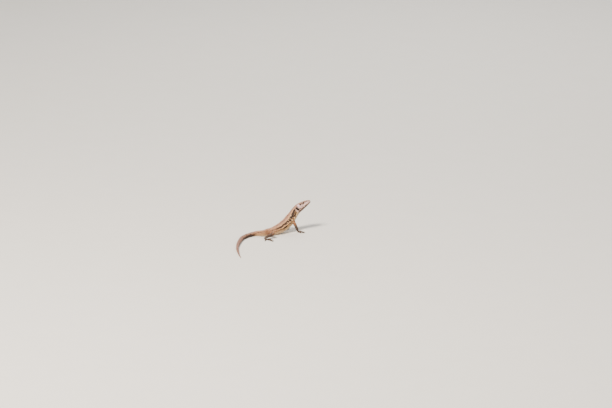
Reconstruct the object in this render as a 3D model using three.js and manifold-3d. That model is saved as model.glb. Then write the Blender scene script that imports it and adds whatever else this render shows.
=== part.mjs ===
// A wall lizard at life size, basking with its chest propped up on straight forelegs, its belly and
// hips on the ground and its tail curving round to one side. Millimetres, +Z up. The head points to
// +X, the floor is z = 0, and the origin lies on the floor under the hips.
//
// The body is one long swept form that follows the spine from snout to tail tip. It is parted into
// named lengths by thin cuts. Each leg is a swept form of its own, cut to fit against the body.

import * as THREE from "three";
import { mergeVertices } from "three/addons/utils/BufferGeometryUtils.js";
import Module from "manifold-3d";

const wasm = await Module();
wasm.setup();

// ---------------------------------------------------------------- driving dimensions

const gap = 0.12; // width of the thin cuts between pieces
const sink = 0.85; // what rests on the floor is flattened there to this share of its half height
const ventAt = 56; // distance from the snout to the vent, along the spine
const sides = { head: 24, trunk: 18, tail: 14, limb: 9, toe: 6, claw: 4 }; // facets round each
const headLean = { angle: 20, from: 10, to: 27 }; // the head's roll to its left, fading out at the neck

// The spine, from the snout to the tail tip: where its middle line passes.
const spinePoints = {
  snout: [38.2, 22.0, 25.5],
  eyes: [33.6, 20.6, 23.1],
  nape: [28.5, 18.8, 20.1],
  neck: [25.2, 17.4, 16.7],
  shoulders: [21.9, 15.4, 12.6],
  chest: [17.6, 12.4, 8.1],
  belly: [11.8, 8.2, 4.95],
  loins: [5.8, 3.8, 3.55],
  hips: [0, 0.5, 3.0],
  vent: [-4.6, 0.2, 2.55],
  tailRoot: [-9.6, 0.3, 1.95],
  tailBend: [-15.4, -4.4, 1.67],
  tailTurn: [-20.4, -12.8, 1.55],
  tailFirstThird: [-23.2, -27.1, 1.34],
  tailHalf: [-24.1, -41.6, 1.05],
  tailSecondThird: [-23.6, -50.0, 0.86],
  tailThin: [-22.4, -60.6, 0.58],
  tailTip: [-20.6, -71.2, 0.26],
};

// Girth along the head and trunk: half width, height above and depth below the spine's line, and
// how square the section is (2 is an ellipse).
const girths = [
  { at: 0, side: 0.3, above: 0.3, below: 0.3, square: 2 }, // snout tip
  { at: 0.3, side: 1.1, above: 0.9, below: 0.85, square: 2.1 },
  { at: 1.2, side: 1.75, above: 1.5, below: 1.45, square: 2.2 }, // nostrils
  { at: 2.8, side: 2.4, above: 2.1, below: 2.0, square: 2.3 },
  { at: 4.6, side: 3.05, above: 2.7, below: 2.5, square: 2.4 },
  { at: 6.8, side: 3.6, above: 3.35, below: 2.95, square: 2.5 }, // eyes
  { at: 9, side: 4.0, above: 3.7, below: 3.4, square: 2.5 },
  { at: 11.4, side: 4.25, above: 3.9, below: 3.65, square: 2.4 }, // jaw corner
  { at: 13.6, side: 4.2, above: 4.0, below: 3.55, square: 2.2 }, // ears
  { at: 17, side: 4.1, above: 4.1, below: 3.4, square: 2.1 }, // neck
  { at: 21, side: 4.4, above: 4.1, below: 3.9, square: 2.05 }, // shoulders
  { at: 26, side: 4.9, above: 4.2, below: 4.4, square: 2.05 },
  { at: 32, side: 5.2, above: 4.1, below: 4.4, square: 2.05 }, // widest
  { at: 38, side: 5.1, above: 3.6, below: 4.1, square: 2.05 },
  { at: 44, side: 4.4, above: 3.0, below: 3.7, square: 2.05 },
  { at: 50, side: 3.8, above: 2.6, below: 3.4, square: 2.05 }, // hips
  { at: ventAt, side: 3.1, above: 2.2, below: 2.9, square: 2 },
];
// The tail narrows quickly from the vent to this radius and then by a power law to its tip.
const tail = { radius: 1.95, tip: 0.3, taper: 1.73, flare: 3.2 };
// Swellings and hollows of the head, alike on both sides: middle and reach along the spine, angle
// above the horizontal in the section with its spread in degrees, and height.
const swellings = {
  brow: { at: 7.1, reach: 2.1, angle: 43, spread: 14, height: 0.34 },
  crown: { at: 8, reach: 4, angle: 90, spread: 22, height: -0.1 },
  lore: { at: 4.5, reach: 1.5, angle: 12, spread: 20, height: -0.28 },
  temple: { at: 11, reach: 2.2, angle: 10, spread: 24, height: 0.14 },
  jowl: { at: 11.2, reach: 2, angle: -36, spread: 20, height: 0.25 },
};

// Eyeballs and eardrums: place from the snout, out to the side and above the spine's line, and half sizes.
const eye = { at: 7.3, side: 2.38, above: 1.45, long: 1.25, deep: 1.25, high: 1.25, facets: [12, 8] };
const ear = { at: 13.7, side: 3.82, above: 0.7, long: 0.66, deep: 0.42, high: 0.95, facets: [10, 6] };
const mouthLine = [
  // distance from the snout, height from the spine's line
  [-1, -0.3],
  [2, -0.45],
  [5, -0.75],
  [8, -1.25],
  [10.8, -1.7],
];

// Legs: the places of the root, the middle of the upper length, the elbow or knee, and the wrist or
// ankle. The spread of the toes is in degrees, towards the body's outer side, and their lengths leave
// out the claws.
const fingers = {
  thumb: { length: 2.5, turn: -48 },
  second: { length: 3.7, turn: -23 },
  third: { length: 4.5, turn: -2 },
  fourth: { length: 4.6, turn: 20 },
  fifth: { length: 3.2, turn: 50 },
};
const toes = {
  first: { length: 2.8, turn: -44 },
  second: { length: 4.3, turn: -25 },
  third: { length: 6.2, turn: -8 },
  fourth: { length: 8.0, turn: 8 },
  fifth: { length: 4.2, turn: 62 },
};
const legs = {
  fore_right: {
    outer: -1,
    digits: fingers,
    joints: [[21.6, 14.6, 12.2], [22.9, 12.6, 10.4], [25.5, 10.4, 6.2], [27.3, 11.8, 1.5]],
    heading: -14,
  },
  fore_left: {
    outer: 1,
    digits: fingers,
    joints: [[21.4, 16.4, 12.4], [19.6, 18.6, 10.8], [15.6, 21.8, 7.0], [15.0, 19.6, 1.5]],
    heading: 42,
  },
  hind_right: {
    outer: -1,
    digits: toes,
    joints: [[0.4, 0.2, 3.2], [2.2, -3.4, 3.6], [6.0, -8.4, 4.1], [-0.9, -11.8, 1.5]],
    heading: -38,
  },
  hind_left: {
    outer: 1,
    digits: toes,
    joints: [[0.2, 0.8, 3.0], [1.6, 5.2, 2.9], [4.8, 10.6, 2.8], [-1.2, 12.8, 1.4]],
    heading: 46,
  },
};
// Half thickness of a leg along its length; its middle is the elbow or knee, its wrist may be an ankle.
const limbGirth = {
  fore: { root: 1.75, upper: 1.6, middle: 1.28, lower: 1.26, wrist: 0.78 },
  hind: { root: 2.3, upper: 2.1, middle: 1.45, lower: 1.35, wrist: 0.78 },
};
const palm = { fore: { long: 1.35, wide: 1.05, high: 0.6 }, hind: { long: 1.9, wide: 1.1, high: 0.68 } };
const toe = { root: 0.42, knuckle: 0.36, end: 0.26, arch: 0.42 };
const claw = { length: 0.85, root: 0.22, point: 0.05, rise: 0.3 };

// ---------------------------------------------------------------- colours

const material = (color, roughness) => new THREE.MeshStandardMaterial({ color, roughness, metalness: 0 });
const finish = {
  head: material(0x8f7a66, 0.55),
  trunk: material(0x94765c, 0.6),
  tail: material(0x8d7261, 0.6),
  leg: material(0x8a6b52, 0.6),
  ear: material(0x3b2c25, 0.6),
  eye: material(0x1d130c, 0.15),
};

// ---------------------------------------------------------------- the spine and its sections

const curveThrough = (points) => {
  const curve = new THREE.CatmullRomCurve3(
    points.map((p) => new THREE.Vector3(...p)),
    false,
    "catmullrom",
    0.5,
  );
  curve.arcLengthDivisions = 1500;
  return curve;
};
const spine = curveThrough(Object.values(spinePoints));
const spineLength = spine.getLength();

// A smooth value between rows of a table, for one of its columns.
function between(rows, at, column) {
  const last = rows.length - 1;
  const found = rows.findIndex((row, i) => i === last - 1 || at < rows[i + 1].at);
  const [low, high] = [rows[found], rows[found + 1]];
  const slope = (i) => {
    const [a, b] = [rows[Math.max(i - 1, 0)], rows[Math.min(i + 1, last)]];
    return (b[column] - a[column]) / (b.at - a.at);
  };
  const span = high.at - low.at;
  const t = THREE.MathUtils.clamp((at - low.at) / span, 0, 1);
  return (
    low[column] * (1 + 2 * t) * (1 - t) ** 2 +
    slope(found) * span * t * (1 - t) ** 2 +
    high[column] * t * t * (3 - 2 * t) +
    slope(found + 1) * span * t * t * (t - 1)
  );
}

function girthAt(at) {
  const value = {};
  for (const column of ["side", "above", "below", "square"]) {
    value[column] = between(girths, Math.min(at, ventAt), column);
    if (at > ventAt && column !== "square") {
      const share = (at - ventAt) / (spineLength - ventAt);
      const radius = tail.tip + (tail.radius - tail.tip) * (1 - share ** tail.taper);
      value[column] = radius + (value[column] - tail.radius) * Math.exp((ventAt - at) / tail.flare);
    }
  }
  return value;
}

// How far the head's surface stands out of its plain section at an angle from the horizontal.
function swellingAt(at, degrees) {
  let height = 0;
  for (const { at: middle, reach, angle, spread, height: most } of Object.values(swellings)) {
    height += most * Math.exp(-(((at - middle) / reach) ** 2) - ((degrees - angle) / spread) ** 2);
  }
  return height;
}

// The spine's place, and the directions to the head, the animal's left and its back, at a distance
// from the snout. Each is worked out once and kept.
const stations = new Map();
function stationAt(at) {
  if (!stations.has(at)) {
    const reach = 0.4;
    const point = (s) => spine.getPointAt(THREE.MathUtils.clamp(s / spineLength, 0, 1));
    const ahead = point(at - reach).sub(point(at + reach)).normalize();
    const lean = 1 - THREE.MathUtils.smoothstep(at, headLean.from, headLean.to);
    const left = new THREE.Vector3(0, 0, 1).cross(ahead).normalize();
    left.applyAxisAngle(ahead, -lean * THREE.MathUtils.degToRad(headLean.angle));
    stations.set(at, { place: point(at), ahead, left, up: ahead.clone().cross(left), girth: girthAt(at) });
  }
  const kept = stations.get(at);
  return { ...kept, place: kept.place.clone() };
}

// A point on the body: distance from the snout, and the place in the section as a unit circle's x, y.
function onBody(at, x, y, grow = 0) {
  const { place, left, up, girth } = stationAt(at);
  const { side, above, below, square } = girth;
  const bend = (v) => Math.sign(v) * Math.abs(v) ** (2 / square);
  const radius = Math.hypot(x, y);
  if (radius < 1e-9) return place;
  const [c, s] = [x / radius, y / radius];
  const out = grow + swellingAt(at, THREE.MathUtils.radToDeg(Math.atan2(s, Math.abs(c))));
  return place
    .addScaledVector(left, radius * (side * bend(c) + out * c))
    .addScaledVector(up, radius * ((s > 0 ? above : below) * bend(s) + out * s));
}

// ---------------------------------------------------------------- making shapes

// Moves every vertex of a shape by a rule. What would sink into the floor is flattened on it.
function reshaped(shape, rule) {
  const position = shape.getAttribute("position");
  const vertex = new THREE.Vector3();
  for (let i = 0; i < position.count; i++) {
    const moved = rule(vertex.fromBufferAttribute(position, i));
    position.setXYZ(i, moved.x, moved.y, Math.max(moved.z, 0));
  }
  return shape;
}

// A closed cylinder moved by a rule of the share of its length and the place in its round section.
function swept(facets, steps, rule) {
  const shape = new THREE.CylinderGeometry(1, 1, 1, facets, steps);
  return reshaped(shape, ({ x, y, z }) => rule(0.5 - y, x, z));
}

function solidOf(shape) {
  const bare = shape.clone();
  bare.deleteAttribute("normal");
  bare.deleteAttribute("uv");
  const merged = mergeVertices(bare, 1e-4);
  const mesh = new wasm.Mesh({
    numProp: 3,
    vertProperties: new Float32Array(merged.getAttribute("position").array),
    triVerts: new Uint32Array(merged.index.array),
  });
  return new wasm.Manifold(mesh);
}

function shapeOf(solid) {
  const mesh = solid.getMesh();
  const shape = new THREE.BufferGeometry();
  shape.setAttribute("position", new THREE.BufferAttribute(mesh.vertProperties, 3));
  shape.setIndex(new THREE.BufferAttribute(mesh.triVerts, 1));
  return shape;
}

// A length of the body between two distances from the snout.
function bodyLength(from, to, facets, step, grow = 0) {
  const steps = Math.max(2, Math.round((to - from) / step));
  const crowd = from === 0 ? 1.35 : 1; // sections lie closer together at the snout
  return swept(facets, steps, (t, x, y) => onBody(from + (to - from) * t ** crowd, -x, y, grow));
}

// A tube along a curve. halfThickness gives the half width and half height at a share of its length.
function tube(curve, facets, steps, halfThickness) {
  const frames = curve.computeFrenetFrames(steps * 2, false);
  return swept(facets, steps, (t, x, y) => {
    const frame = Math.round(t * steps * 2);
    const thick = halfThickness(t);
    return curve
      .getPointAt(t)
      .addScaledVector(frames.normals[frame], x * thick)
      .addScaledVector(frames.binormals[frame], y * thick);
  });
}

const lizard = new THREE.Group();
function add(name, shape, surface) {
  const mesh = new THREE.Mesh(shape, surface);
  mesh.name = name;
  lizard.add(mesh);
}

// ---------------------------------------------------------------- head, eyes and ears

const headEnd = 15.2;
const headMiddle = stationAt(6);
const headFrame = new THREE.Matrix4()
  .makeBasis(headMiddle.ahead.clone().negate(), headMiddle.left.clone().negate(), headMiddle.up)
  .setPosition(stationAt(0).place);

// A ball or oval set in the side of the head: side is 1 for the left and -1 for the right.
function inHead(part, side, grow) {
  const shape = new THREE.SphereGeometry(1, ...part.facets);
  const { place, left, up, ahead } = stationAt(part.at);
  shape.rotateX(Math.PI / 2);
  shape.scale(part.long + grow, part.deep + grow, part.high + grow);
  const turn = new THREE.Matrix4().makeBasis(ahead, left, up);
  const centre = place.addScaledVector(left, side * part.side).addScaledVector(up, part.above);
  return solidOf(shape.applyMatrix4(turn.setPosition(centre)));
}

// The block of space that the lower jaw fills, below the mouth line and in front of its corner.
function jawSpace(grow) {
  const outline = new THREE.Shape(mouthLine.map(([x, y]) => new THREE.Vector2(x, y + grow)));
  const [corner] = mouthLine.slice(-1);
  outline.lineTo(corner[0] + grow, corner[1] + grow);
  outline.lineTo(corner[0] + 1 + grow, -8);
  outline.lineTo(mouthLine[0][0], -8);
  const block = new THREE.ExtrudeGeometry(outline, { depth: 14, bevelEnabled: false });
  block.translate(0, 0, -7);
  block.rotateX(Math.PI / 2);
  return solidOf(block.applyMatrix4(headFrame));
}

const wholeHead = solidOf(bodyLength(0, headEnd - gap / 2, sides.head, 0.85));
let skull = wholeHead.subtract(jawSpace(gap));
for (const side of [1, -1]) {
  const name = side > 0 ? "left" : "right";
  add("eye_" + name, shapeOf(inHead(eye, side, 0)), finish.eye);
  skull = skull.subtract(inHead(eye, side, gap));
  // The eardrum lies deeper in its pocket than the skin around it.
  const drum = { ...ear, side: ear.side - 0.1, deep: ear.deep - 0.12 };
  add("ear_" + name, shapeOf(inHead(drum, side, 0)), finish.ear);
  skull = skull.subtract(inHead(ear, side, gap));
}
add("head", shapeOf(skull), finish.head);
add("lower_jaw", shapeOf(wholeHead.intersect(jawSpace(0))), finish.head);

// ---------------------------------------------------------------- neck, trunk and tail

const lengths = [
  { name: "neck", to: 20.5, kind: "trunk" },
  { name: "chest", to: 30, kind: "trunk" },
  { name: "belly", to: 42, kind: "trunk" },
  { name: "hips", to: ventAt, kind: "trunk" },
];
const tailPieces = 6;
for (let i = 1; i <= tailPieces; i++) {
  lengths.push({ name: "tail_" + i, to: ventAt + ((spineLength - ventAt) * i) / tailPieces, kind: "tail" });
}
const step = { trunk: 1.9, tail: 2.7 };
let from = headEnd + gap / 2;
for (const { name, to, kind } of lengths) {
  const end = name === "tail_" + tailPieces ? spineLength : to - gap / 2;
  add(name, bodyLength(from, end, sides[kind], step[kind]), finish[kind]);
  from = to + gap / 2;
}

// ---------------------------------------------------------------- legs, hands and feet

const grownTrunk = solidOf(bodyLength(8, ventAt + 14, sides.trunk, step.trunk, gap));

// One finger or toe with its claw: it leaves the palm, arches over its knuckle and comes down to
// the floor, where the claw curves down from its end.
function digit(start, direction, length) {
  const along = (d, z) => start.clone().addScaledVector(direction, d).setZ(z);
  const flesh = new THREE.CatmullRomCurve3([
    along(0, toe.root + 0.1),
    along(length * 0.35, toe.knuckle + toe.arch),
    along(length * 0.7, toe.knuckle + toe.arch * 0.35),
    along(length, toe.end * sink),
  ]);
  const thick = (t) => (t < 0.5 ? toe.root : toe.knuckle) * (1 - t) + (t < 0.5 ? toe.knuckle : toe.end) * t;
  const nail = new THREE.CatmullRomCurve3([
    along(length - 0.25, toe.end),
    along(length + claw.length * 0.35, toe.end + claw.rise * 0.5),
    along(length + claw.length, claw.point),
  ]);
  const nailThick = (t) => claw.root + (claw.point - claw.root) * t;
  return solidOf(tube(flesh, sides.toe, 4, thick)).add(solidOf(tube(nail, sides.claw, 2, nailThick)));
}

// Where a leg's palm or sole lies on the floor, and the level direction at a turn from its heading.
function palmOf(leg, kind) {
  const heading = THREE.MathUtils.degToRad(leg.heading);
  const ahead = (turn) => new THREE.Vector3(Math.cos(heading + turn), Math.sin(heading + turn), 0);
  const wrist = new THREE.Vector3(...leg.joints[3]);
  const middle = wrist.addScaledVector(ahead(0), palm[kind].long * 0.75).setZ(palm[kind].high * sink);
  return { heading, ahead, middle };
}

function sole(leg, kind, grow = 0) {
  const { long, wide, high } = palm[kind];
  const { heading, middle } = palmOf(leg, kind);
  const pad = new THREE.SphereGeometry(1, 10, 6);
  pad.rotateX(Math.PI / 2);
  pad.scale(long + grow, wide + grow, high + grow);
  pad.rotateZ(heading);
  return solidOf(reshaped(pad, (point) => point.add(middle)));
}

function digitsOf(leg, kind) {
  const { ahead, middle } = palmOf(leg, kind);
  return Object.values(leg.digits).map(({ length, turn }) => {
    const angle = leg.outer * THREE.MathUtils.degToRad(turn);
    const root = middle.clone().addScaledVector(ahead(angle), palm[kind].wide * 0.55);
    root.addScaledVector(ahead(leg.outer * Math.PI / 2), Math.sin(Math.abs(angle)) * Math.sign(turn) * 0.3);
    return digit(root, ahead(angle), length);
  });
}

// The two sides of a cut square to a leg at one of its joints.
function cutAtJoint(solid, points, joint) {
  const way = (i) => points[i + 1].clone().sub(points[i]).normalize();
  const square = way(joint - 1).add(way(joint)).normalize();
  const where = square.dot(points[joint]);
  const before = solid.trimByPlane(square.clone().negate().toArray(), -where + gap / 2);
  return [before, solid.trimByPlane(square.toArray(), where + gap / 2)];
}

// The main body of a solid, without the slivers that a cut may leave beside it.
const mainBody = (solid) => solid.decompose().sort((a, b) => b.volume() - a.volume())[0];

const names = { fore: ["upper_arm_", "forearm_", "hand_"], hind: ["thigh_", "shin_", "foot_"] };
for (const [name, leg] of Object.entries(legs)) {
  const [kind, side] = name.split("_");
  const points = [...leg.joints.map((joint) => new THREE.Vector3(...joint)), palmOf(leg, kind).middle];
  const reached = [0];
  points.slice(1).forEach((point, i) => reached.push(reached[i] + point.distanceTo(points[i])));
  const share = reached.map((length) => length / reached[4]);
  const { root, upper, middle, lower, wrist } = limbGirth[kind];
  const rows = [
    { at: 0, half: root },
    { at: share[1], half: upper },
    { at: share[2], half: middle },
    { at: (share[2] + share[3]) / 2, half: lower },
    { at: share[3], half: wrist },
    { at: 1, half: palm[kind].high },
  ];
  const limb = solidOf(tube(curveThrough(points), sides.limb, 13, (t) => between(rows, t, "half")));
  const [upperPart, rest] = cutAtJoint(limb.subtract(grownTrunk), points, 2);
  const [lowerPart, heel] = cutAtJoint(rest, points, 3);
  const foot = digitsOf(leg, kind).reduce((made, one) => made.add(one), heel.add(sole(leg, kind)));
  const made = [upperPart, lowerPart.subtract(sole(leg, kind, gap)), foot].map(mainBody);
  made.forEach((solid, i) => add(names[kind][i] + side, shapeOf(solid), finish.leg));
}

export default lizard;
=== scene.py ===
import math

import bmesh
import bpy
import numpy as np
from mathutils import Matrix, Vector
from mathutils.bvhtree import BVHTree
from mathutils.kdtree import KDTree


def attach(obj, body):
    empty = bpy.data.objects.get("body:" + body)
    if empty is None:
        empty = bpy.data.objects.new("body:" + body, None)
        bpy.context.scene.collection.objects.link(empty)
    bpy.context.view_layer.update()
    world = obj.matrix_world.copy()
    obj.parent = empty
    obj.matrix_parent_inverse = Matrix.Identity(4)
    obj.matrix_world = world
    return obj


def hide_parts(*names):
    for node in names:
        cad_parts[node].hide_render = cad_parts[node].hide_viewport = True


# A wall lizard basking with its chest propped up. One smooth skin stands for the flesh, and the
# shields, granules, plates and whorls of scales lie on it as meshes of their own. Shapes are worked
# out in millimetres and made metres when a piece is finished.
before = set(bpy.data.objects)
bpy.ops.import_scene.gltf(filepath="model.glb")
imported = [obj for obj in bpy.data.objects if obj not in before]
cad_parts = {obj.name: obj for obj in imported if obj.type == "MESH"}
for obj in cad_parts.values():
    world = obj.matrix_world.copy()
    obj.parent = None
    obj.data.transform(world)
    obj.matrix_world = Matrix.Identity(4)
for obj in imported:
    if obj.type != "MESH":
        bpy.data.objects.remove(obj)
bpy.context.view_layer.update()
mm = 0.001
chance = np.random.default_rng(11)

# The body, as the frame has it: the spine from snout to tail tip, and the girth along it.
body = {
    "spine": [
        [38.2, 22.0, 25.5], [33.6, 20.6, 23.1], [28.5, 18.8, 20.1], [25.2, 17.4, 16.7],
        [21.9, 15.4, 12.6], [17.6, 12.4, 8.1], [11.8, 8.2, 4.95], [5.8, 3.8, 3.55],
        [0, 0.5, 3.0], [-4.6, 0.2, 2.55], [-9.6, 0.3, 1.95], [-15.4, -4.4, 1.67],
        [-20.4, -12.8, 1.55], [-23.2, -27.1, 1.34], [-24.1, -41.6, 1.05], [-23.6, -50.0, 0.86],
        [-22.4, -60.6, 0.58], [-20.6, -71.2, 0.26],
    ],
    # distance from the snout, half width, height above and depth below the spine, squareness
    "girths": [
        (0, 0.3, 0.3, 0.3, 2), (0.3, 1.1, 0.9, 0.85, 2.1), (1.2, 1.75, 1.5, 1.45, 2.2),
        (2.8, 2.4, 2.1, 2.0, 2.3), (4.6, 3.05, 2.7, 2.5, 2.4), (6.8, 3.6, 3.35, 2.95, 2.5),
        (9, 4.0, 3.7, 3.4, 2.5), (11.4, 4.25, 3.9, 3.65, 2.4), (13.6, 4.2, 4.0, 3.55, 2.2),
        (17, 4.1, 4.1, 3.4, 2.1), (21, 4.4, 4.1, 3.9, 2.05), (26, 4.9, 4.2, 4.4, 2.05),
        (32, 5.2, 4.1, 4.4, 2.05), (38, 5.1, 3.6, 4.1, 2.05), (44, 4.4, 3.0, 3.7, 2.05),
        (50, 3.8, 2.6, 3.4, 2.05), (56, 3.1, 2.2, 2.9, 2),
    ],
    "ventAt": 56,
    "tail": {"radius": 1.95, "tip": 0.3, "taper": 1.73, "flare": 3.2, "point": 2.2},
    "lean": {"angle": 20, "start": 10, "end": 27},  # the head's roll, fading out at the neck
    # middle and reach along the spine, angle and spread round it, height
    "swellings": [
        (7.1, 2.1, 43, 14, 0.34), (8, 4, 90, 22, -0.1), (4.5, 1.5, 12, 20, -0.28),
        (11, 2.2, 10, 24, 0.14), (11.2, 2, -36, 20, 0.25),
    ],
    "coat": 0.09,  # how deep the scales are: the skin lies this far inside the frame's solids
    "rest": 0.06,  # the skin's lowest level above the floor
}
eye = {"at": 7.3, "side": 2.38, "above": 1.45, "ball": 1.25, "long": 0.78, "high": 0.56}
ear = {"at": 13.7, "side": 3.82, "above": 0.7, "long": 0.66, "high": 0.95}
mouth = {"at": [-1, 2, 5, 8, 10.8], "height": [-0.3, -0.45, -0.75, -1.25, -1.7], "end": 10.8}

fingers = [(2.5, -48), (3.7, -23), (4.5, -2), (4.6, 20), (3.2, 50)]  # length, turn
toes = [(2.8, -44), (4.3, -25), (6.2, -8), (8.0, 8), (4.2, 62)]
foreGirth = {"rows": [1.75, 1.6, 1.28, 1.26, 0.78], "long": 1.35, "wide": 1.05, "high": 0.6}
hindGirth = {"rows": [2.3, 2.1, 1.45, 1.35, 0.78], "long": 1.9, "wide": 1.1, "high": 0.68}
legs = {
    "foreRight": {
        "outer": -1, "heading": -14, "girth": foreGirth, "digits": fingers,
        "joints": [[21.6, 14.6, 12.2], [22.9, 12.6, 10.4], [25.5, 10.4, 6.2], [27.3, 11.8, 1.5]],
    },
    "foreLeft": {
        "outer": 1, "heading": 42, "girth": foreGirth, "digits": fingers,
        "joints": [[21.4, 16.4, 12.4], [19.6, 18.6, 10.8], [15.6, 21.8, 7.0], [15.0, 19.6, 1.5]],
    },
    "hindRight": {
        "outer": -1, "heading": -38, "girth": hindGirth, "digits": toes,
        "joints": [[0.4, 0.2, 3.2], [2.2, -3.4, 3.6], [6.0, -8.4, 4.1], [-0.9, -11.8, 1.5]],
    },
    "hindLeft": {
        "outer": 1, "heading": 46, "girth": hindGirth, "digits": toes,
        "joints": [[0.2, 0.8, 3.0], [1.6, 5.2, 2.9], [4.8, 10.6, 2.8], [-1.2, 12.8, 1.4]],
    },
}
digit = {"root": 0.42, "knuckle": 0.36, "end": 0.26, "arch": 0.42, "sink": 0.85, "pads": 0.05,
         "coat": 0.6}  # its scales' depth, as a share of the body's
claw = {"length": 0.75, "root": 0.17, "point": 0.04, "rise": 0.3, "rings": 8, "sides": 8}


# Camera at a low angle from the animal's right, a long way off, and soft light from large sources.
view = {"aim": [34.4, 0, 28.5], "elevation": 15, "lens": 250, "field": 526.3, "sensor": 36}
camera = bpy.data.objects.new("camera", bpy.data.cameras.new("camera"))
camera.data.lens = view["lens"]
camera.data.sensor_width = view["sensor"]
tilt = math.radians(view["elevation"])
away = view["field"] * view["lens"] / view["sensor"]
back = Vector((0, -math.cos(tilt), math.sin(tilt)))
camera.location = (Vector(view["aim"]) + back * away) * mm
camera.rotation_euler = (math.pi / 2 - tilt, 0, 0)
bpy.context.scene.collection.objects.link(camera)
bpy.context.scene.camera = camera

lamps = {
    "keyLight": {"at": (-0.5, -0.7, 1.1), "size": 0.4, "power": 44, "hex": "fff4e6"},
    "fillLight": {"at": (0.9, -0.6, 0.6), "size": 0.9, "power": 4, "hex": "f2f5ff"},
    "backLight": {"at": (0.2, 0.9, 0.8), "size": 0.8, "power": 8, "hex": "ffffff"},
}


def linear(code):  # an sRGB hex colour as linear red, green, blue and alpha
    parts = [int(code[i:i + 2], 16) / 255 for i in (0, 2, 4)]
    return [p / 12.92 if p <= 0.04045 else ((p + 0.055) / 1.055) ** 2.4 for p in parts] + [1.0]


for name, lamp in lamps.items():
    light = bpy.data.objects.new(name, bpy.data.lights.new(name, "AREA"))
    light.data.shape = "DISK"
    light.data.size = lamp["size"]
    light.data.energy = lamp["power"]
    light.data.color = linear(lamp["hex"])[:3]
    light.location = lamp["at"]
    light.rotation_euler = Vector(lamp["at"]).to_track_quat("Z", "Y").to_euler()
    bpy.context.scene.collection.objects.link(light)
print("camera and lights")


def plug(tree, socket, value):  # links a node or another socket to a socket, or sets its value
    if isinstance(value, bpy.types.Node):
        value = next(s for s in value.outputs if s.enabled)
    if isinstance(value, bpy.types.NodeSocket):
        tree.links.new(value, socket)
    elif value is not None:
        socket.default_value = value


# Adds a node. Its inputs are given in the order of its open sockets, or by name: a node or a socket is
# linked, None is passed over, and anything else is a value. Stops are for a colour ramp.
def addNode(tree, kind, inputs=(), stops=(), **settings):
    node = tree.nodes.new(kind if kind.startswith("Node") else "ShaderNode" + kind)
    for key, value in settings.items():
        setattr(node, key, value)
    sockets = [s for s in node.inputs if s.enabled]
    if isinstance(inputs, dict):
        named = {s.name: s for s in sockets}
        sockets, inputs = [named[key] for key in inputs], inputs.values()
    for socket, value in zip(sockets, inputs):
        plug(tree, socket, value)
    if stops:
        elements = node.color_ramp.elements
        while len(elements) < len(stops):
            elements.new(0.5)
        for element, (where, level) in zip(elements, stops):
            element.position = where
        for element, (where, level) in zip(elements, stops):
            element.color = linear(level) if isinstance(level, str) else (level, level, level, 1)
    return node


world = bpy.data.worlds.new("studio")
world.use_nodes = True
background = world.node_tree.nodes["Background"]
background.inputs["Color"].default_value = linear("efece6")
background.inputs["Strength"].default_value = 0.42
bpy.context.scene.world = world


# Lines and surfaces

def hermite(start, end, leaving, arriving, t):
    return (start * (1 + 2 * t) * (1 - t) ** 2 + leaving * t * (1 - t) ** 2
            + end * t * t * (3 - 2 * t) + arriving * t * t * (t - 1))


def smooth(low, high, value):  # 0 before low, 1 after high
    t = np.clip((value - low) / (high - low), 0, 1)
    return t * t * (3 - 2 * t)


def between(ats, values, at):  # a smooth value between the rows of a table
    ats, values = np.asarray(ats, float), np.asarray(values, float)
    last = len(ats) - 1
    i = np.arange(last + 1)
    before, after = np.maximum(i - 1, 0), np.minimum(i + 1, last)
    slopes = (values[after] - values[before]) / (ats[after] - ats[before])
    i = np.clip(np.searchsorted(ats, at, side="right") - 1, 0, last - 1)
    span = ats[i + 1] - ats[i]
    t = np.clip((at - ats[i]) / span, 0, 1)
    return hermite(values[i], values[i + 1], slopes[i] * span, slopes[i + 1] * span, t)


def unit(vectors):
    return vectors / np.linalg.norm(vectors, axis=-1, keepdims=True)


def lineThrough(points, step=0.1):  # a smooth line through points, as evenly spaced places
    p = np.array(points, float)
    p = np.vstack([2 * p[0] - p[1], p, 2 * p[-1] - p[-2]])
    t = np.linspace(0, 1, 80, endpoint=False)[:, None]
    spans = zip(p, p[1:], p[2:], p[3:])
    dense = np.vstack([hermite(b, c, (c - a) / 2, (d - b) / 2, t) for a, b, c, d in spans] + [p[-2:-1]])
    run = np.concatenate([[0], np.cumsum(np.linalg.norm(np.diff(dense, axis=0), axis=1))])
    at = np.linspace(0, run[-1], max(2, round(run[-1] / step)) + 1)
    return {"at": at, "place": np.stack([np.interp(at, run, dense[:, k]) for k in range(3)], 1)}


def look(line, column, at):  # a column of a line's table at distances along it
    values = line[column]
    if values.ndim == 1:
        return np.interp(at, line["at"], values)
    return np.stack([np.interp(at, line["at"], values[:, k]) for k in range(3)], -1)


def swellingAt(at, degrees):
    height = np.zeros_like(at)
    for middle, reach, angle, spread, most in body["swellings"]:
        height += most * np.exp(-(((at - middle) / reach) ** 2) - ((degrees - angle) / spread) ** 2)
    return height


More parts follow.
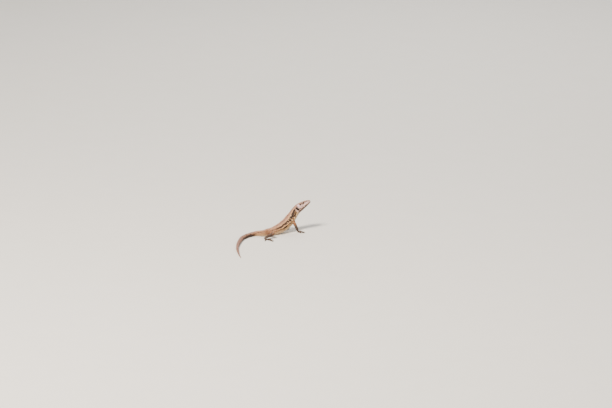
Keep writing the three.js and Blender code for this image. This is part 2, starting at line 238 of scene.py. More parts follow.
spine = lineThrough(body["spine"])
spineLength = spine["at"][-1]
reach = 0.4
spine["ahead"] = unit(look(spine, "place", spine["at"] - reach) - look(spine, "place", spine["at"] + reach))
lean = math.radians(body["lean"]["angle"]) * (
    smooth(body["lean"]["start"], body["lean"]["end"], spine["at"])[:, None] - 1)
level = unit(np.cross([0, 0, 1], spine["ahead"]))
spine["left"] = level * np.cos(lean) + np.cross(spine["ahead"], level) * np.sin(lean)
spine["up"] = np.cross(spine["ahead"], spine["left"])
girthRows = np.array(body["girths"], float)
tail = body["tail"]
trunkAt = np.minimum(spine["at"], body["ventAt"])
past = np.maximum(spine["at"] - body["ventAt"], 0)
share = past / (spineLength - body["ventAt"])
tailRadius = tail["tip"] + (tail["radius"] - tail["tip"]) * (1 - share ** tail["taper"])
for k, column in enumerate(["side", "above", "below", "square"], 1):
    value = between(girthRows[:, 0], girthRows[:, k], trunkAt)
    if column != "square":
        flared = tailRadius + (value - tail["radius"]) * np.exp(-past / tail["flare"])
        rounded = np.sqrt(smooth(spineLength + 0.3, spineLength - tail["point"], spine["at"]))
        value = np.where(past > 0, flared * rounded, value)
    spine[column] = value


def onBody(at, degrees, grow=0.0):
    turn = np.radians(degrees)
    c, s = np.cos(turn), np.sin(turn)
    power = 2 / look(spine, "square", at)
    out = grow + swellingAt(at, np.degrees(np.arctan2(s, np.abs(c))))
    high = np.where(s > 0, look(spine, "above", at), look(spine, "below", at))
    across = look(spine, "side", at) * np.sign(c) * np.abs(c) ** power + out * c
    upward = high * np.sign(s) * np.abs(s) ** power + out * s
    return (look(spine, "place", at) + look(spine, "left", at) * across[..., None]
            + look(spine, "up", at) * upward[..., None])


# Degrees round the section for a place across it, seen from above, or up it, seen from the side.
def degreesAcross(at, across, under=False):
    share = np.clip(np.abs(across) / look(spine, "side", at), 0, 1) ** (look(spine, "square", at) / 2)
    turn = np.degrees(np.arccos(share))
    turn = np.where(across < 0, 180 - turn, turn)
    return -turn if under else turn


def degreesUp(at, height, side):
    high = np.where(height > 0, look(spine, "above", at), look(spine, "below", at))
    share = np.clip(np.abs(height) / high, 0, 1) ** (look(spine, "square", at) / 2)
    turn = np.degrees(np.arcsin(share)) * np.sign(height)
    return np.where(side > 0, turn, 180 - turn)


def framed(line):  # gives a leg's or digit's line directions round it that don't twist
    ahead = unit(np.gradient(line["place"], axis=0))
    level = np.cross([0, 0, 1], ahead[0])
    left = [unit(level)]
    for step in ahead[1:]:
        last = left[-1]
        left.append(unit(last - step * np.dot(last, step)))
    line["ahead"], line["left"] = ahead, np.array(left)
    line["up"] = np.cross(ahead, line["left"])
    return line


def onLine(line):  # the surface round a leg's or digit's line
    def place(at, degrees, grow=0.0):
        turn = np.radians(degrees)[..., None]
        radius = (look(line, "radius", at) + grow)[..., None]
        out = look(line, "left", at) * np.cos(turn) + look(line, "up", at) * np.sin(turn)
        return look(line, "place", at) + out * radius
    return place


limbs, digits, palms, claws = {}, {}, {}, {}
for name, leg in legs.items():
    girth = leg["girth"]
    heading = math.radians(leg["heading"])
    joints = np.array(leg["joints"], float)
    ahead = np.array([math.cos(heading), math.sin(heading), 0])
    middle = joints[3] + ahead * girth["long"] * 0.75
    middle[2] = girth["high"] * digit["sink"]
    palms[name] = {"middle": middle, "heading": heading, "girth": girth}
    points = np.vstack([joints, middle])
    run = np.concatenate([[0], np.cumsum(np.linalg.norm(np.diff(points, axis=0), axis=1))])
    run /= run[-1]
    line = lineThrough(points)
    root, upper, elbow, lower, wrist = girth["rows"]
    rowAt = [0, run[1], run[2], (run[2] + run[3]) / 2, run[3], 1]
    rowHalf = [root, upper, elbow, lower, wrist, girth["high"]]
    line["radius"] = between(rowAt, rowHalf, line["at"] / line["at"][-1])
    line["joints"] = run * line["at"][-1]
    limbs[name] = framed(line)
    for i, (length, turn) in enumerate(leg["digits"]):
        angle = heading + leg["outer"] * math.radians(turn)
        toward = np.array([math.cos(angle), math.sin(angle), 0])
        outward = heading + leg["outer"] * math.pi / 2
        start = middle + toward * girth["wide"] * 0.55
        start = start + np.array([math.cos(outward), math.sin(outward), 0]) * (
            math.sin(math.radians(abs(turn))) * np.sign(turn) * 0.3)
        level = lambda d, z: [start[0] + toward[0] * d, start[1] + toward[1] * d, z]
        flesh = lineThrough([
            level(0, digit["root"] + 0.1), level(length * 0.35, digit["knuckle"] + digit["arch"]),
            level(length * 0.7, digit["knuckle"] + digit["arch"] * 0.35),
            level(length, digit["end"] * digit["sink"]),
        ])
        t = flesh["at"] / flesh["at"][-1]
        pads = digit["pads"] * np.cos(np.pi * (flesh["at"] / 1.25)) ** 4  # swollen at each joint
        thick = np.interp(t, [0, 0.5, 1], [digit["root"], digit["knuckle"], digit["end"]])
        flesh["radius"] = thick + pads - 0.02
        digits[name + str(i + 1)] = framed(flesh)
        nail = lineThrough([
            level(length - 0.3, digit["end"] * 0.9),
            level(length + claw["length"] * 0.4, digit["end"] + 0.16),
            level(length + claw["length"], claw["point"] + 0.02),
        ])
        t = nail["at"] / nail["at"][-1]
        nail["radius"] = claw["root"] * (1 - t) ** 0.8 + claw["point"]
        claws[name + str(i + 1)] = framed(nail)


# The skin: tubes that overlap, remeshed into one closed surface

def addTube(bm, surface, start, end, rings, sides, crowd=1.0):
    made = bmesh.ops.create_grid(bm, x_segments=rings, y_segments=sides, size=1.0)["verts"]
    flat = np.array([v.co for v in made])
    moveTo(made, surface(start + (end - start) * ((flat[:, 0] + 1) / 2) ** crowd, flat[:, 1] * 180))
    bmesh.ops.remove_doubles(bm, verts=made, dist=1e-4)
    bmesh.ops.holes_fill(bm, edges=[e for e in bm.edges if e.is_boundary], sides=0)


def meshOf(bm, name):
    mesh = bpy.data.meshes.new(name)
    bm.to_mesh(mesh)
    bm.free()
    return mesh


def withModifier(mesh, kind, **settings):  # the mesh that a modifier makes of another
    obj = bpy.data.objects.new("work", mesh)
    bpy.context.scene.collection.objects.link(obj)
    modifier = obj.modifiers.new(kind, kind)
    for key, value in settings.items():
        setattr(modifier, key, value)
    result = bpy.data.meshes.new_from_object(obj.evaluated_get(bpy.context.evaluated_depsgraph_get()))
    bpy.data.objects.remove(obj)
    bpy.data.meshes.remove(mesh)
    return result


def coordinates(mesh, kind="vertices"):
    values = np.empty(len(mesh.vertices) * 3, np.float32)
    if kind == "normals":
        mesh.vertex_normals.foreach_get("vector", values)
    else:
        mesh.vertices.foreach_get("co", values)
    return values.reshape(-1, 3).astype(float)


def moveTo(verts, points):
    for vert, point in zip(verts, points):
        vert.co = point


def arraysOf(bm):
    verts = np.array([v.co for v in bm.verts])
    faces = np.array([[v.index for v in f.verts] for f in bm.faces])
    bm.free()
    return verts, faces


def treeThrough(places):
    tree = KDTree(len(places))
    for i, place in enumerate(places):
        tree.insert(place, i)
    tree.balance()
    return tree


def setCoordinates(mesh, points):
    mesh.vertices.foreach_set("co", np.asarray(points, np.float32).ravel())
    mesh.update()


skinMake = {"voxel": 0.15, "rings": 460, "sides": 72, "smoothing": 5, "faces": 170000}
shell = bmesh.new()
depth = body["coat"]
addTube(shell, lambda at, turn: onBody(at, turn, -depth), 0.12, spineLength - 0.05,
        skinMake["rings"], skinMake["sides"], 1.15)
for name, line in limbs.items():
    addTube(shell, lambda at, turn, on=onLine(line): on(at, turn, -depth), 0, line["at"][-1], 60, 28)
for name, palm in palms.items():
    girth = palm["girth"]
    pad = bmesh.ops.create_icosphere(shell, subdivisions=3, radius=1.0)["verts"]
    half = [girth[key] - depth for key in ("long", "wide", "high")]
    bmesh.ops.scale(shell, vec=half, verts=pad)
    bmesh.ops.rotate(shell, matrix=Matrix.Rotation(palm["heading"], 3, "Z"), verts=pad)
    bmesh.ops.translate(shell, vec=palm["middle"], verts=pad)
for name, line in digits.items():
    addTube(shell, lambda at, turn, on=onLine(line): on(at, turn, -depth * digit["coat"]), 0, line["at"][-1],
            40, 14)
for vert in shell.verts:
    vert.co.z = max(vert.co.z, body["rest"])
bmesh.ops.recalc_face_normals(shell, faces=shell.faces[:])
skinMesh = withModifier(meshOf(shell, "skin"), "REMESH", mode="VOXEL", voxel_size=skinMake["voxel"],
                        use_smooth_shade=True)
print("skin remeshed:", len(skinMesh.vertices))

spineTree = treeThrough(spine["place"])
parts = {**limbs, **digits}
partTree = treeThrough(np.vstack([line["place"] for line in parts.values()]))
partRows = []
for number, line in enumerate(parts.values()):
    for i in range(len(line["at"])):
        along = line["at"][i] / line["at"][-1]  # 0 at a leg's root, 1 at the wrist, 2 at the toes' ends
        partRows.append((number, along + (number >= len(limbs)), line["radius"][i]))
partRows = np.array(partRows)


def inBody(points):  # where points lie along and round the body, and how far out of it
    at = spine["at"][[spineTree.find(p)[1] for p in points]]
    for _ in range(2):
        offset = points - look(spine, "place", at)
        at = np.clip(at - np.sum(offset * look(spine, "ahead", at), 1), 0, spineLength)
    offset = points - look(spine, "place", at)
    x, y = np.sum(offset * look(spine, "left", at), 1), np.sum(offset * look(spine, "up", at), 1)
    wide, high = look(spine, "side", at), np.where(y > 0, look(spine, "above", at), look(spine, "below", at))
    power = look(spine, "square", at) / 2
    c, s = np.sign(x) * np.abs(x / wide) ** power, np.sign(y) * np.abs(y / high) ** power
    ends = np.abs(np.sum(offset * look(spine, "ahead", at), 1))
    out = (np.hypot(c, s) ** (1 / power) - 1) * np.minimum(wide, high) + ends
    return {"at": at, "x": x, "y": y, "degrees": np.degrees(np.arctan2(s, c)), "out": out}


def inLimbs(points):  # the nearest leg or digit: how far along it, and how far out of its surface
    found = [partTree.find(p)[1:] for p in points]
    rows = partRows[[f[0] for f in found]]
    return {"part": rows[:, 0].astype(int), "reach": rows[:, 1],
            "out": np.array([f[1] for f in found]) - rows[:, 2]}


def smoothed(mesh, times, chosen=None):
    bm = bmesh.new()
    bm.from_mesh(mesh)
    bm.verts.ensure_lookup_table()
    verts = bm.verts[:] if chosen is None else [bm.verts[i] for i in np.flatnonzero(chosen)]
    for _ in range(times):
        bmesh.ops.smooth_vert(bm, verts=verts, factor=0.5, use_axis_x=True, use_axis_y=True, use_axis_z=True)
    bm.to_mesh(mesh)
    bm.free()


points = coordinates(skinMesh)
near = inLimbs(points)
thin = (near["part"] >= len(limbs)) & (near["out"] < 0.3)
smoothed(skinMesh, 2)
smoothed(skinMesh, skinMake["smoothing"], ~thin)
print("skin smoothed")

# Folds, pits and swellings of the skin: each moves it out (or in, when negative) along its normal
folds = {
    "lips": {"groove": -0.1, "width": 0.13, "lip": 0.05},
    "gular": {"at": 18.6, "sweep": 1.6, "width": 0.35, "depth": -0.22, "pouch": 0.16},
    "nape": {"start": 15.5, "end": 23, "pitch": 1.9, "depth": 0.05},
    "flank": {"start": 27, "end": 52, "pitch": 3.1, "depth": 0.05},
    "shoulder": {"at": 23.5, "degrees": 42, "long": 3.2, "round": 22, "height": 0.22},
    "hip": {"at": 52, "degrees": 30, "long": 3.5, "round": 24, "height": 0.2},
    "vent": {"at": 55.4, "width": 0.3, "depth": -0.2},
    "grain": {"height": 0.035, "waves": 14, "long": (2.5, 7)},
}


def bump(x, middle, width):
    return np.exp(-(((x - middle) / width) ** 2))


# Nostrils and ears: each a pit with a rounded rim. The profile goes from under the skin over the rim
# and down the inner wall: how far out from the opening's edge in mm, and how high.
pits = {
    "nostril": {
        "at": 1.3, "above": 0.62, "long": 0.21, "high": 0.15, "depth": -0.5, "around": 28, "rounds": 18,
        "profile": [(0.26, -0.1), (0.17, 0.03), (0.08, 0.1), (0.0, 0.08), (-0.05, 0.0), (-0.06, -0.2),
                    (-0.04, -0.45), (0.15, -0.45)],
    },
    "ear": {
        "at": ear["at"], "above": ear["above"], "long": ear["long"], "high": ear["high"], "depth": -0.85,
        "around": 48, "rounds": 22,
        "profile": [(0.34, -0.12), (0.22, 0.02), (0.1, 0.08), (0.0, 0.05), (-0.05, -0.06), (-0.07, -0.35),
                    (-0.03, -0.75), (0.2, -0.75)],
    },
}


def onPit(pit, side, turn, spread, rise):  # a place round an opening, out from its edge
    angle = np.radians(turn)
    station = np.array([pit["at"]])
    middle = degreesUp(station, pit["above"], side)
    rate = np.linalg.norm(onBody(station, middle + 1) - onBody(station, middle - 1), axis=1) / 2
    x, y = (pit["long"] + spread) * np.cos(angle), (pit["high"] + spread) * np.sin(angle)
    return onBody(pit["at"] + x, middle + side * y / rate, rise - body["coat"])


for pit in pits.values():
    pit["axes"] = {}
    for side in (1, -1):
        ahead, aside, up, below = (onPit(pit, side, np.array([t]), 0.0, 0.0)[0] for t in (0, 180, 90, -90))
        pit["axes"][side] = np.array([unit(aside - ahead), unit(up - below)])


def roundPit(pit, side, points, room=0.0):  # how far out from an opening, 1 at its edge
    offset = points - onPit(pit, side, np.array([0.0]), -pit["long"], 0.0)
    x = offset @ pit["axes"][side][0] / (pit["long"] + room)
    z = offset @ pit["axes"][side][1] / (pit["high"] + room)
    return np.hypot(x, z) + 9 * (np.linalg.norm(offset, axis=1) > 2)


def foldsAt(points, place, onTrunk):
    at, degrees, y = place["at"], place["degrees"], place["y"]
    side = np.where(np.cos(np.radians(degrees)) > 0, 1, -1)
    up = np.where(side > 0, degrees, np.where(degrees > 0, 180 - degrees, -180 - degrees))
    out = np.zeros(len(points))
    for pit in pits.values():
        for face in (1, -1):
            out += pit["depth"] * (1 - smooth(0.7, 1.15, roundPit(pit, face, points)))
    fold = folds["lips"]
    above = y - between(mouth["at"], mouth["height"], at)
    alongLips = smooth(0.2, 0.8, at) * (1 - smooth(mouth["end"] - 0.6, mouth["end"] + 0.3, at))
    groove = fold["groove"] * bump(above, 0, fold["width"])
    out += alongLips * (groove + fold["lip"] * bump(np.abs(above), 0.4, 0.2))
    fold = folds["gular"]
    below = smooth(10, -35, up)
    line = fold["at"] - fold["sweep"] * (1 - below)
    out += below * (fold["depth"] * bump(at, line, fold["width"]) + fold["pouch"] * bump(at, line - 1.1, 0.9))
    for name, low, high in (("nape", -30, 60), ("flank", -40, 25)):
        fold = folds[name]
        span = smooth(fold["start"], fold["start"] + 3, at) * (1 - smooth(fold["end"] - 3, fold["end"], at))
        ridges = np.cos(2 * np.pi * (at + 0.4 * np.sin(np.radians(up * 3))) / fold["pitch"])
        shown = smooth(low - 15, low + 15, up) * (1 - smooth(high - 15, high + 15, up))
        out += fold["depth"] * ridges * span * shown
    for name in ("shoulder", "hip"):
        fold = folds[name]
        out += fold["height"] * bump(at, fold["at"], fold["long"]) * bump(up, fold["degrees"], fold["round"])
    fold = folds["vent"]
    out += fold["depth"] * bump(at, fold["at"], fold["width"]) * smooth(-40, -60, up)
    out *= onTrunk
    fold = folds["grain"]
    for _ in range(fold["waves"]):
        way = unit(chance.normal(size=3)) * 2 * np.pi / chance.uniform(*fold["long"])
        out += fold["height"] / 3 * np.sin(points @ way + chance.uniform(0, 6.3)) * (1 - thin * 0.7)
    return out


points = coordinates(skinMesh)
normals = coordinates(skinMesh, "normals")
place = inBody(points)
near = inLimbs(points)
thin = (near["part"] >= len(limbs)) & (near["out"] < 0.3)
onTrunk = smooth(-0.2, 0.3, near["out"] - place["out"])
points += normals * foldsAt(points, place, onTrunk)[:, None]


def headAxes(at, side):  # at a place on the spine: towards the snout, up, and out to a side
    at = np.array([at])
    return [look(spine, "ahead", at)[0], look(spine, "up", at)[0], look(spine, "left", at)[0] * side]


def inSocket(socket, points):  # from an eyeball: its own axes, how far, and how far out from the rim
    local = (points - socket["centre"]) @ socket["axes"].T
    far = np.linalg.norm(local, axis=1)
    turn = np.arctan2(local[:, 1], local[:, 0])
    rim = eye["long"] * eye["high"] / np.hypot(eye["high"] * np.cos(turn), eye["long"] * np.sin(turn))
    lean = np.arccos(np.clip(local[:, 2] / np.maximum(far, 1e-6), -1, 1))
    return local, far, (lean - np.arcsin(rim / eye["ball"])) * eye["ball"]


# The sockets: round each eyeball the skin is drawn in behind the lids.
eyes = {}
for side in (1, -1):
    ahead, up, out = headAxes(eye["at"], side)
    centre = look(spine, "place", np.array([eye["at"]]))[0] + out * eye["side"] + up * eye["above"]
    eyes[side] = {"centre": centre, "axes": np.array([ahead, up, out])}
    local, far, spread = inSocket(eyes[side], points)
    goal = eye["ball"] + np.interp(spread, [0.0, 0.1, 0.25, 0.45, 0.8], [-0.25, -0.02, 0.04, 0.01, -0.08])
    share = (1 - smooth(0.5, 1.0, spread)) * (far < 2.3)
    points = centre + (local * (1 + share * (goal / np.maximum(far, 1e-6) - 1))[:, None]) @ eyes[side]["axes"]
points[:, 2] = np.maximum(points[:, 2], body["rest"])
setCoordinates(skinMesh, points)
skinMesh = withModifier(skinMesh, "DECIMATE", ratio=min(1, skinMake["faces"] / (2 * len(skinMesh.polygons))),
                        use_collapse_triangulate=True)
print("skin folded and thinned:", len(skinMesh.polygons))

# Lids: a rounded rim round each eye opening, growing out of the skin. The lower one is the larger.
lids = {
    # how far out from the rim in mm, and how far above the ball
    "profile": [(0.0, -0.25), (-0.04, -0.06), (-0.02, 0.05), (0.05, 0.12), (0.18, 0.14), (0.36, 0.12),
                (0.55, 0.06), (0.75, -0.04), (0.95, -0.18), (0.8, -0.4)],
    "around": 64, "rounds": 28, "droop": 0.07,
}


def onLid(socket, turn, spread, rise):  # a place round an eye opening, out from its rim
    angle = np.radians(turn)
    x = eye["long"] * np.cos(angle)
    y = eye["high"] * np.sin(angle) - lids["droop"] * (np.cos(angle) ** 2 - 0.4)
    rim = np.hypot(x, y)
    lean = np.arcsin(rim / eye["ball"]) + spread / eye["ball"]
    radius = eye["ball"] + rise
    local = np.stack([np.sin(lean) * x / rim, np.sin(lean) * y / rim, np.cos(lean)], -1)
    return socket["centre"] + local * np.asarray(radius)[..., None] @ socket["axes"]


def addRim(bm, part, surface):  # a closed ring whose section is the part's profile
    line = lineThrough([[a, b, 0] for a, b in part["profile"] + part["profile"][:1]], 0.02)
    made = bmesh.ops.create_grid(bm, x_segments=part["around"], y_segments=part["rounds"], size=1.0)["verts"]
    flat = np.array([v.co for v in made])
    share = (flat[:, 1] + 1) / 2 * line["at"][-1]
    spread, rise = (np.interp(share, line["at"], line["place"][:, k]) for k in (0, 1))
    moveTo(made, surface(flat[:, 0] * 180, spread, rise))
    bmesh.ops.remove_doubles(bm, verts=made, dist=1e-4)


def treeOf(mesh):
    return BVHTree.FromPolygons(coordinates(mesh).tolist(), [p.vertices[:] for p in mesh.polygons])


rims = bmesh.new()
for side, socket in eyes.items():
    addRim(rims, lids, lambda turn, spread, rise: onLid(socket, turn, spread, rise))
    for pit in pits.values():
        addRim(rims, pit, lambda turn, spread, rise: onPit(pit, side, turn, spread, rise))
bmesh.ops.recalc_face_normals(rims, faces=rims.faces[:])
bmesh.ops.triangulate(rims, faces=rims.faces[:])
rimMesh = meshOf(rims, "rims")
skinTree, rimTree = treeOf(skinMesh), treeOf(rimMesh)
skin = bmesh.new()
skin.from_mesh(skinMesh)
skin.from_mesh(rimMesh)
skinMesh = meshOf(skin, "skin")


# What each place on the animal carries for its markings: distance from the snout, how far round from
# the back (0) to the belly (1), how much it belongs to a leg, and named light and dark blotches, with
# painted shade in the nostrils, the ear openings and along the mouth's seam.
blotches = [
    # distance from the snout, degrees above the side, size along and round in mm, strength
    # The dark blotches at 13.5 to 13.9 mm from the snout, round the ear opening, are partly its dark markings
    # and partly painted shade round the opening.
    (9.9, 19, 0.7, 0.65, -1.2), (11.6, 40, 1.2, 1.6, 1.1), (11.7, 8, 0.9, 0.9, 0.9),
    (7.2, 52, 1.2, 0.45, 0.6), (4.3, 33, 1.7, 0.32, -0.75), (2.3, 40, 0.5, 0.3, -0.5),
    (9.0, -2, 1.8, 0.35, 0.8), (12.6, 20, 0.4, 0.3, -0.7), (11.5, -11, 0.8, 0.35, -1.3),
    (13.9, 29, 0.75, 0.6, -1.9), (13.5, -9, 0.75, 0.5, -1.9), (4.2, 8, 2.4, 0.5, 0.6),
    (15.0, -8, 0.7, 0.5, 1.3), (15.7, 6, 0.5, 0.5, 0.9), (20.4, 21, 6.0, 1.3, -0.65),
    (15.9, 38, 1.0, 0.8, -0.9), (17.7, 31, 0.9, 0.9, -1.2), (16.8, 10, 0.6, 0.7, -1.1),
    (19.9, 36, 1.0, 1.4, -1.2), (18.8, 6, 0.8, 0.8, -1.2), (21.7, 28, 0.7, 1.1, -1.1),
    (20.7, -8, 0.6, 0.7, -1), (23.6, 34, 0.9, 1.0, -1.2), (26.2, 30, 1.1, 1.6, -1.2),
    (28.7, 38, 0.9, 1.2, -1.0), (32.7, 43, 1.0, 1.0, -0.8), (35.9, 42, 1.1, 0.9, -0.8),
    (18.7, -15, 0.65, 0.65, 1.4), (21.6, -4, 0.6, 1.0, 1.5), (22.3, 52, 0.7, 0.6, 1.1),
    (24.4, 62, 0.9, 0.5, 0.7), (24.7, 10, 0.6, 0.8, 1.6), (22.7, 13, 0.4, 0.4, 1.3),
    (19.3, 20, 0.35, 0.35, 1.2), (17.3, 21, 0.35, 0.35, 1.2), (25.1, 42, 0.4, 0.5, 1.2),
    (17.2, -22, 0.5, 0.4, -0.9), (19.6, -24, 0.5, 0.5, -0.7), (7.8, -34, 0.4, 0.4, -0.6),
    (27.5, 14, 0.4, 0.5, 0.9), (7.0, 21, 1.0, 0.95, -1.3), (13.7, 10, 1.0, 1.2, -1.7),
    (12.5, -3, 0.6, 0.5, -1.2), (27.3, 44, 0.4, 0.4, 0.9), (29.9, 36, 0.4, 0.5, 0.9),
    (32.2, 34, 0.4, 0.4, 0.8), (34.3, 35, 0.4, 0.45, 0.8), (36.6, 35, 0.4, 0.4, 0.7),
    (34.2, 5, 2.8, 0.75, -1.25), (27.2, -10, 0.4, 0.9, -0.8), (29.2, -2, 1.3, 0.6, 0.5),
]
lipBars = {"at": [0.75, 1.9, 3.2, 4.8, 6.6, 8.5, 10.3], "half": 0.2, "deep": 0.8}


def marksAt(points, normals):
    place, near = inBody(points), inLimbs(points)
    limb = smooth(-0.25, 0.45, place["out"] - near["out"])
    names = list(parts)
    outer = np.array([legs[n.rstrip("12345")]["outer"] for n in names])[near["part"]]
    facing = normals[:, 2] * 0.8 + normals[:, 1] * outer * 0.6
    across = np.cos(np.radians(place["degrees"]))
    round01 = np.abs((90 - place["degrees"] + 180) % 360 - 180) / 180
    up = 90 - round01 * 180
    blotch = np.zeros(len(points))
    radius = np.radians(1) * np.maximum(look(spine, "side", place["at"]), 0.5)
    for at, degrees, long, wide, strength in blotches:
        shift = 0.35 * np.where(across > 0, 1, 0)  # the left side's are a little further back
        far = np.hypot((place["at"] - at - shift) / long, (up - degrees) * radius / wide)
        blotch += strength * (1 - smooth(0.5, 1.15, far))
    above = place["y"] - between(mouth["at"], mouth["height"], place["at"])
    onLips = place["at"] < mouth["end"]
    bars = sum(bump(place["at"], at + 0.1, lipBars["half"]) for at in lipBars["at"])
    blotch -= 0.8 * bars * onLips * smooth(-lipBars["deep"], -lipBars["deep"] * 0.5, above) * (above < 0)
    # a thin dark line along the mouth's seam: painted shade in the groove between the lips
    blotch -= 1.1 * bump(above, 0, 0.06) * onLips
    # painted shade: inside the nostrils and the ear openings the colour goes to black
    for pit in pits.values():
        for side in (1, -1):
            blotch -= 2.5 * (1 - smooth(0.9, 1.25, roundPit(pit, side, points)))
    return {
        "root": points,
        "lie": np.stack([place["at"], round01 * (1 - limb) + (0.5 - 0.5 * facing) * limb, limb], 1),
        "blotch": blotch * (1 - limb),
        "reach": near["reach"] * limb,
    }


def setAttribute(mesh, name, values):
    values = np.asarray(values, np.float32)
    kind, field = ("FLOAT_VECTOR", "vector") if values.ndim == 2 else ("FLOAT", "value")
    mesh.attributes.new(name, kind, "POINT").data.foreach_set(field, values.ravel())


def setMarks(mesh, marks, tone=0.0):
    for name, values in marks.items():
        setAttribute(mesh, name, values)
    setAttribute(mesh, "tone", np.zeros(len(mesh.vertices)) + tone)


# Markings, from the back (0) to the belly (1). Over the "ground" colours, "dark" is the share of each band
# that an ink covers. It is drawn round cells of a size in mm: "net" says how far it keeps to their edges,
# its level, and how far it breaks into blots. A share of the cells, "few", hold a round dark spot, as far
# down the side as "low", and a share, "pale", stay clear in their middle. "fades" says from where to where
# the net thins out, what is left of it beyond, and "plain" is the ground there.
markings = {
    "trunk": {
        "ground": [(0, "a77c66"), (0.08, "b3846a"), (0.15, "c8956f"), (0.185, "eab884"), (0.215, "b98663"),
                   (0.33, "a9785a"), (0.375, "f0bd86"), (0.405, "e6ae75"), (0.435, "a56c3c"), (0.5, "c5985f"),
                   (0.6, "cfab7d"), (1, "ead8b8")],
        "dark": [(0, 0.38), (0.03, 0.26), (0.07, 0.14), (0.15, 0.15), (0.185, 0.1), (0.205, 0.52),
                 (0.235, 0.84), (0.33, 0.86), (0.352, 0.6), (0.372, 0.12), (0.41, 0.18), (0.43, 0.58),
                 (0.475, 0.6), (0.505, 0.32), (0.56, 0.24), (0.66, 0.02), (1, 0)],
        "cell": 1.15, "net": (1.5, -0.35, 1.0), "ink": "28150c",
        "spot": 0.3, "few": 0.3, "low": 0.2, "pale": 0.3,
        "fades": (38, 46, 0.5), "plain": "b9845e",
    },
    "head": {
        "ground": [(0, "ad7e68"), (0.2, "c08c76"), (0.26, "cfa384"), (0.31, "a97c68"), (0.35, "bd9183"),
                   (0.4, "ecc8bd"), (0.52, "f8d2c2"), (0.59, "d9b4a0"), (0.64, "957468"), (0.78, "93796d"),
                   (1, "c9b6a4")],
        "dark": [(0, 0.18), (0.22, 0.2), (0.3, 0.42), (0.36, 0.38), (0.42, 0.18), (0.5, 0.14), (0.6, 0.26),
                 (0.66, 0.48), (0.8, 0.38), (1, 0.05)],
        "cell": 0.62, "net": (0.5, -0.72, 2.0), "ink": "2c1912",
        "spot": 0.3, "few": 0.25, "low": 0.42, "pale": 0.0,
    },
    "tail": {
        # The tail's lower side, from 0.36 to 0.8, has a darker ground and a denser dark: partly its own
        # markings, partly painted shade on the side turned away from the light.
        "ground": [(0, "8f6450"), (0.2, "996c54"), (0.3, "a67a5b"), (0.4, "8c6046"), (0.6, "74503a"),
                   (0.78, "80604a"), (1, "b59a7c")],
        "dark": [(0, 0.32), (0.1, 0.18), (0.28, 0.2), (0.36, 0.5), (0.45, 0.8), (0.65, 0.78), (0.8, 0.45),
                 (1, 0.1)],
        "cell": 1.5, "net": (1.5, -0.35, 1.0), "ink": "2a170f",
        "spot": 0.32, "few": 0.3, "low": 0.3, "pale": 0.0,
        "fades": (70, 86, 0.3), "plain": "92695b",
    },
    "limb": {
        "ground": [(0, "b8794b"), (0.3, "ae744a"), (0.5, "9f6d4c"), (0.68, "c79f78"), (1, "dfc9a4")],
        "dark": [(0, 0.34), (0.4, 0.38), (0.6, 0.25), (0.75, 0.05), (1, 0)],
        "cell": 1.0, "net": (1.5, -0.35, 1.0), "ink": "241510",
        "spot": 0.3, "few": 0.35, "low": 0.5, "pale": 0.12,
    },
    "forearm": "453329",  # the lower leg's and hand's ground, greyer than the upper leg's
    "light": "f3d2a2", "temple": "e4c0cc", "black": "0f0907", "mottle": "ffe9d6",
    "headFrom": (17.0, 13.5), "tailFrom": (55.0, 66.0), "lowerLeg": (0.42, 0.62),
}


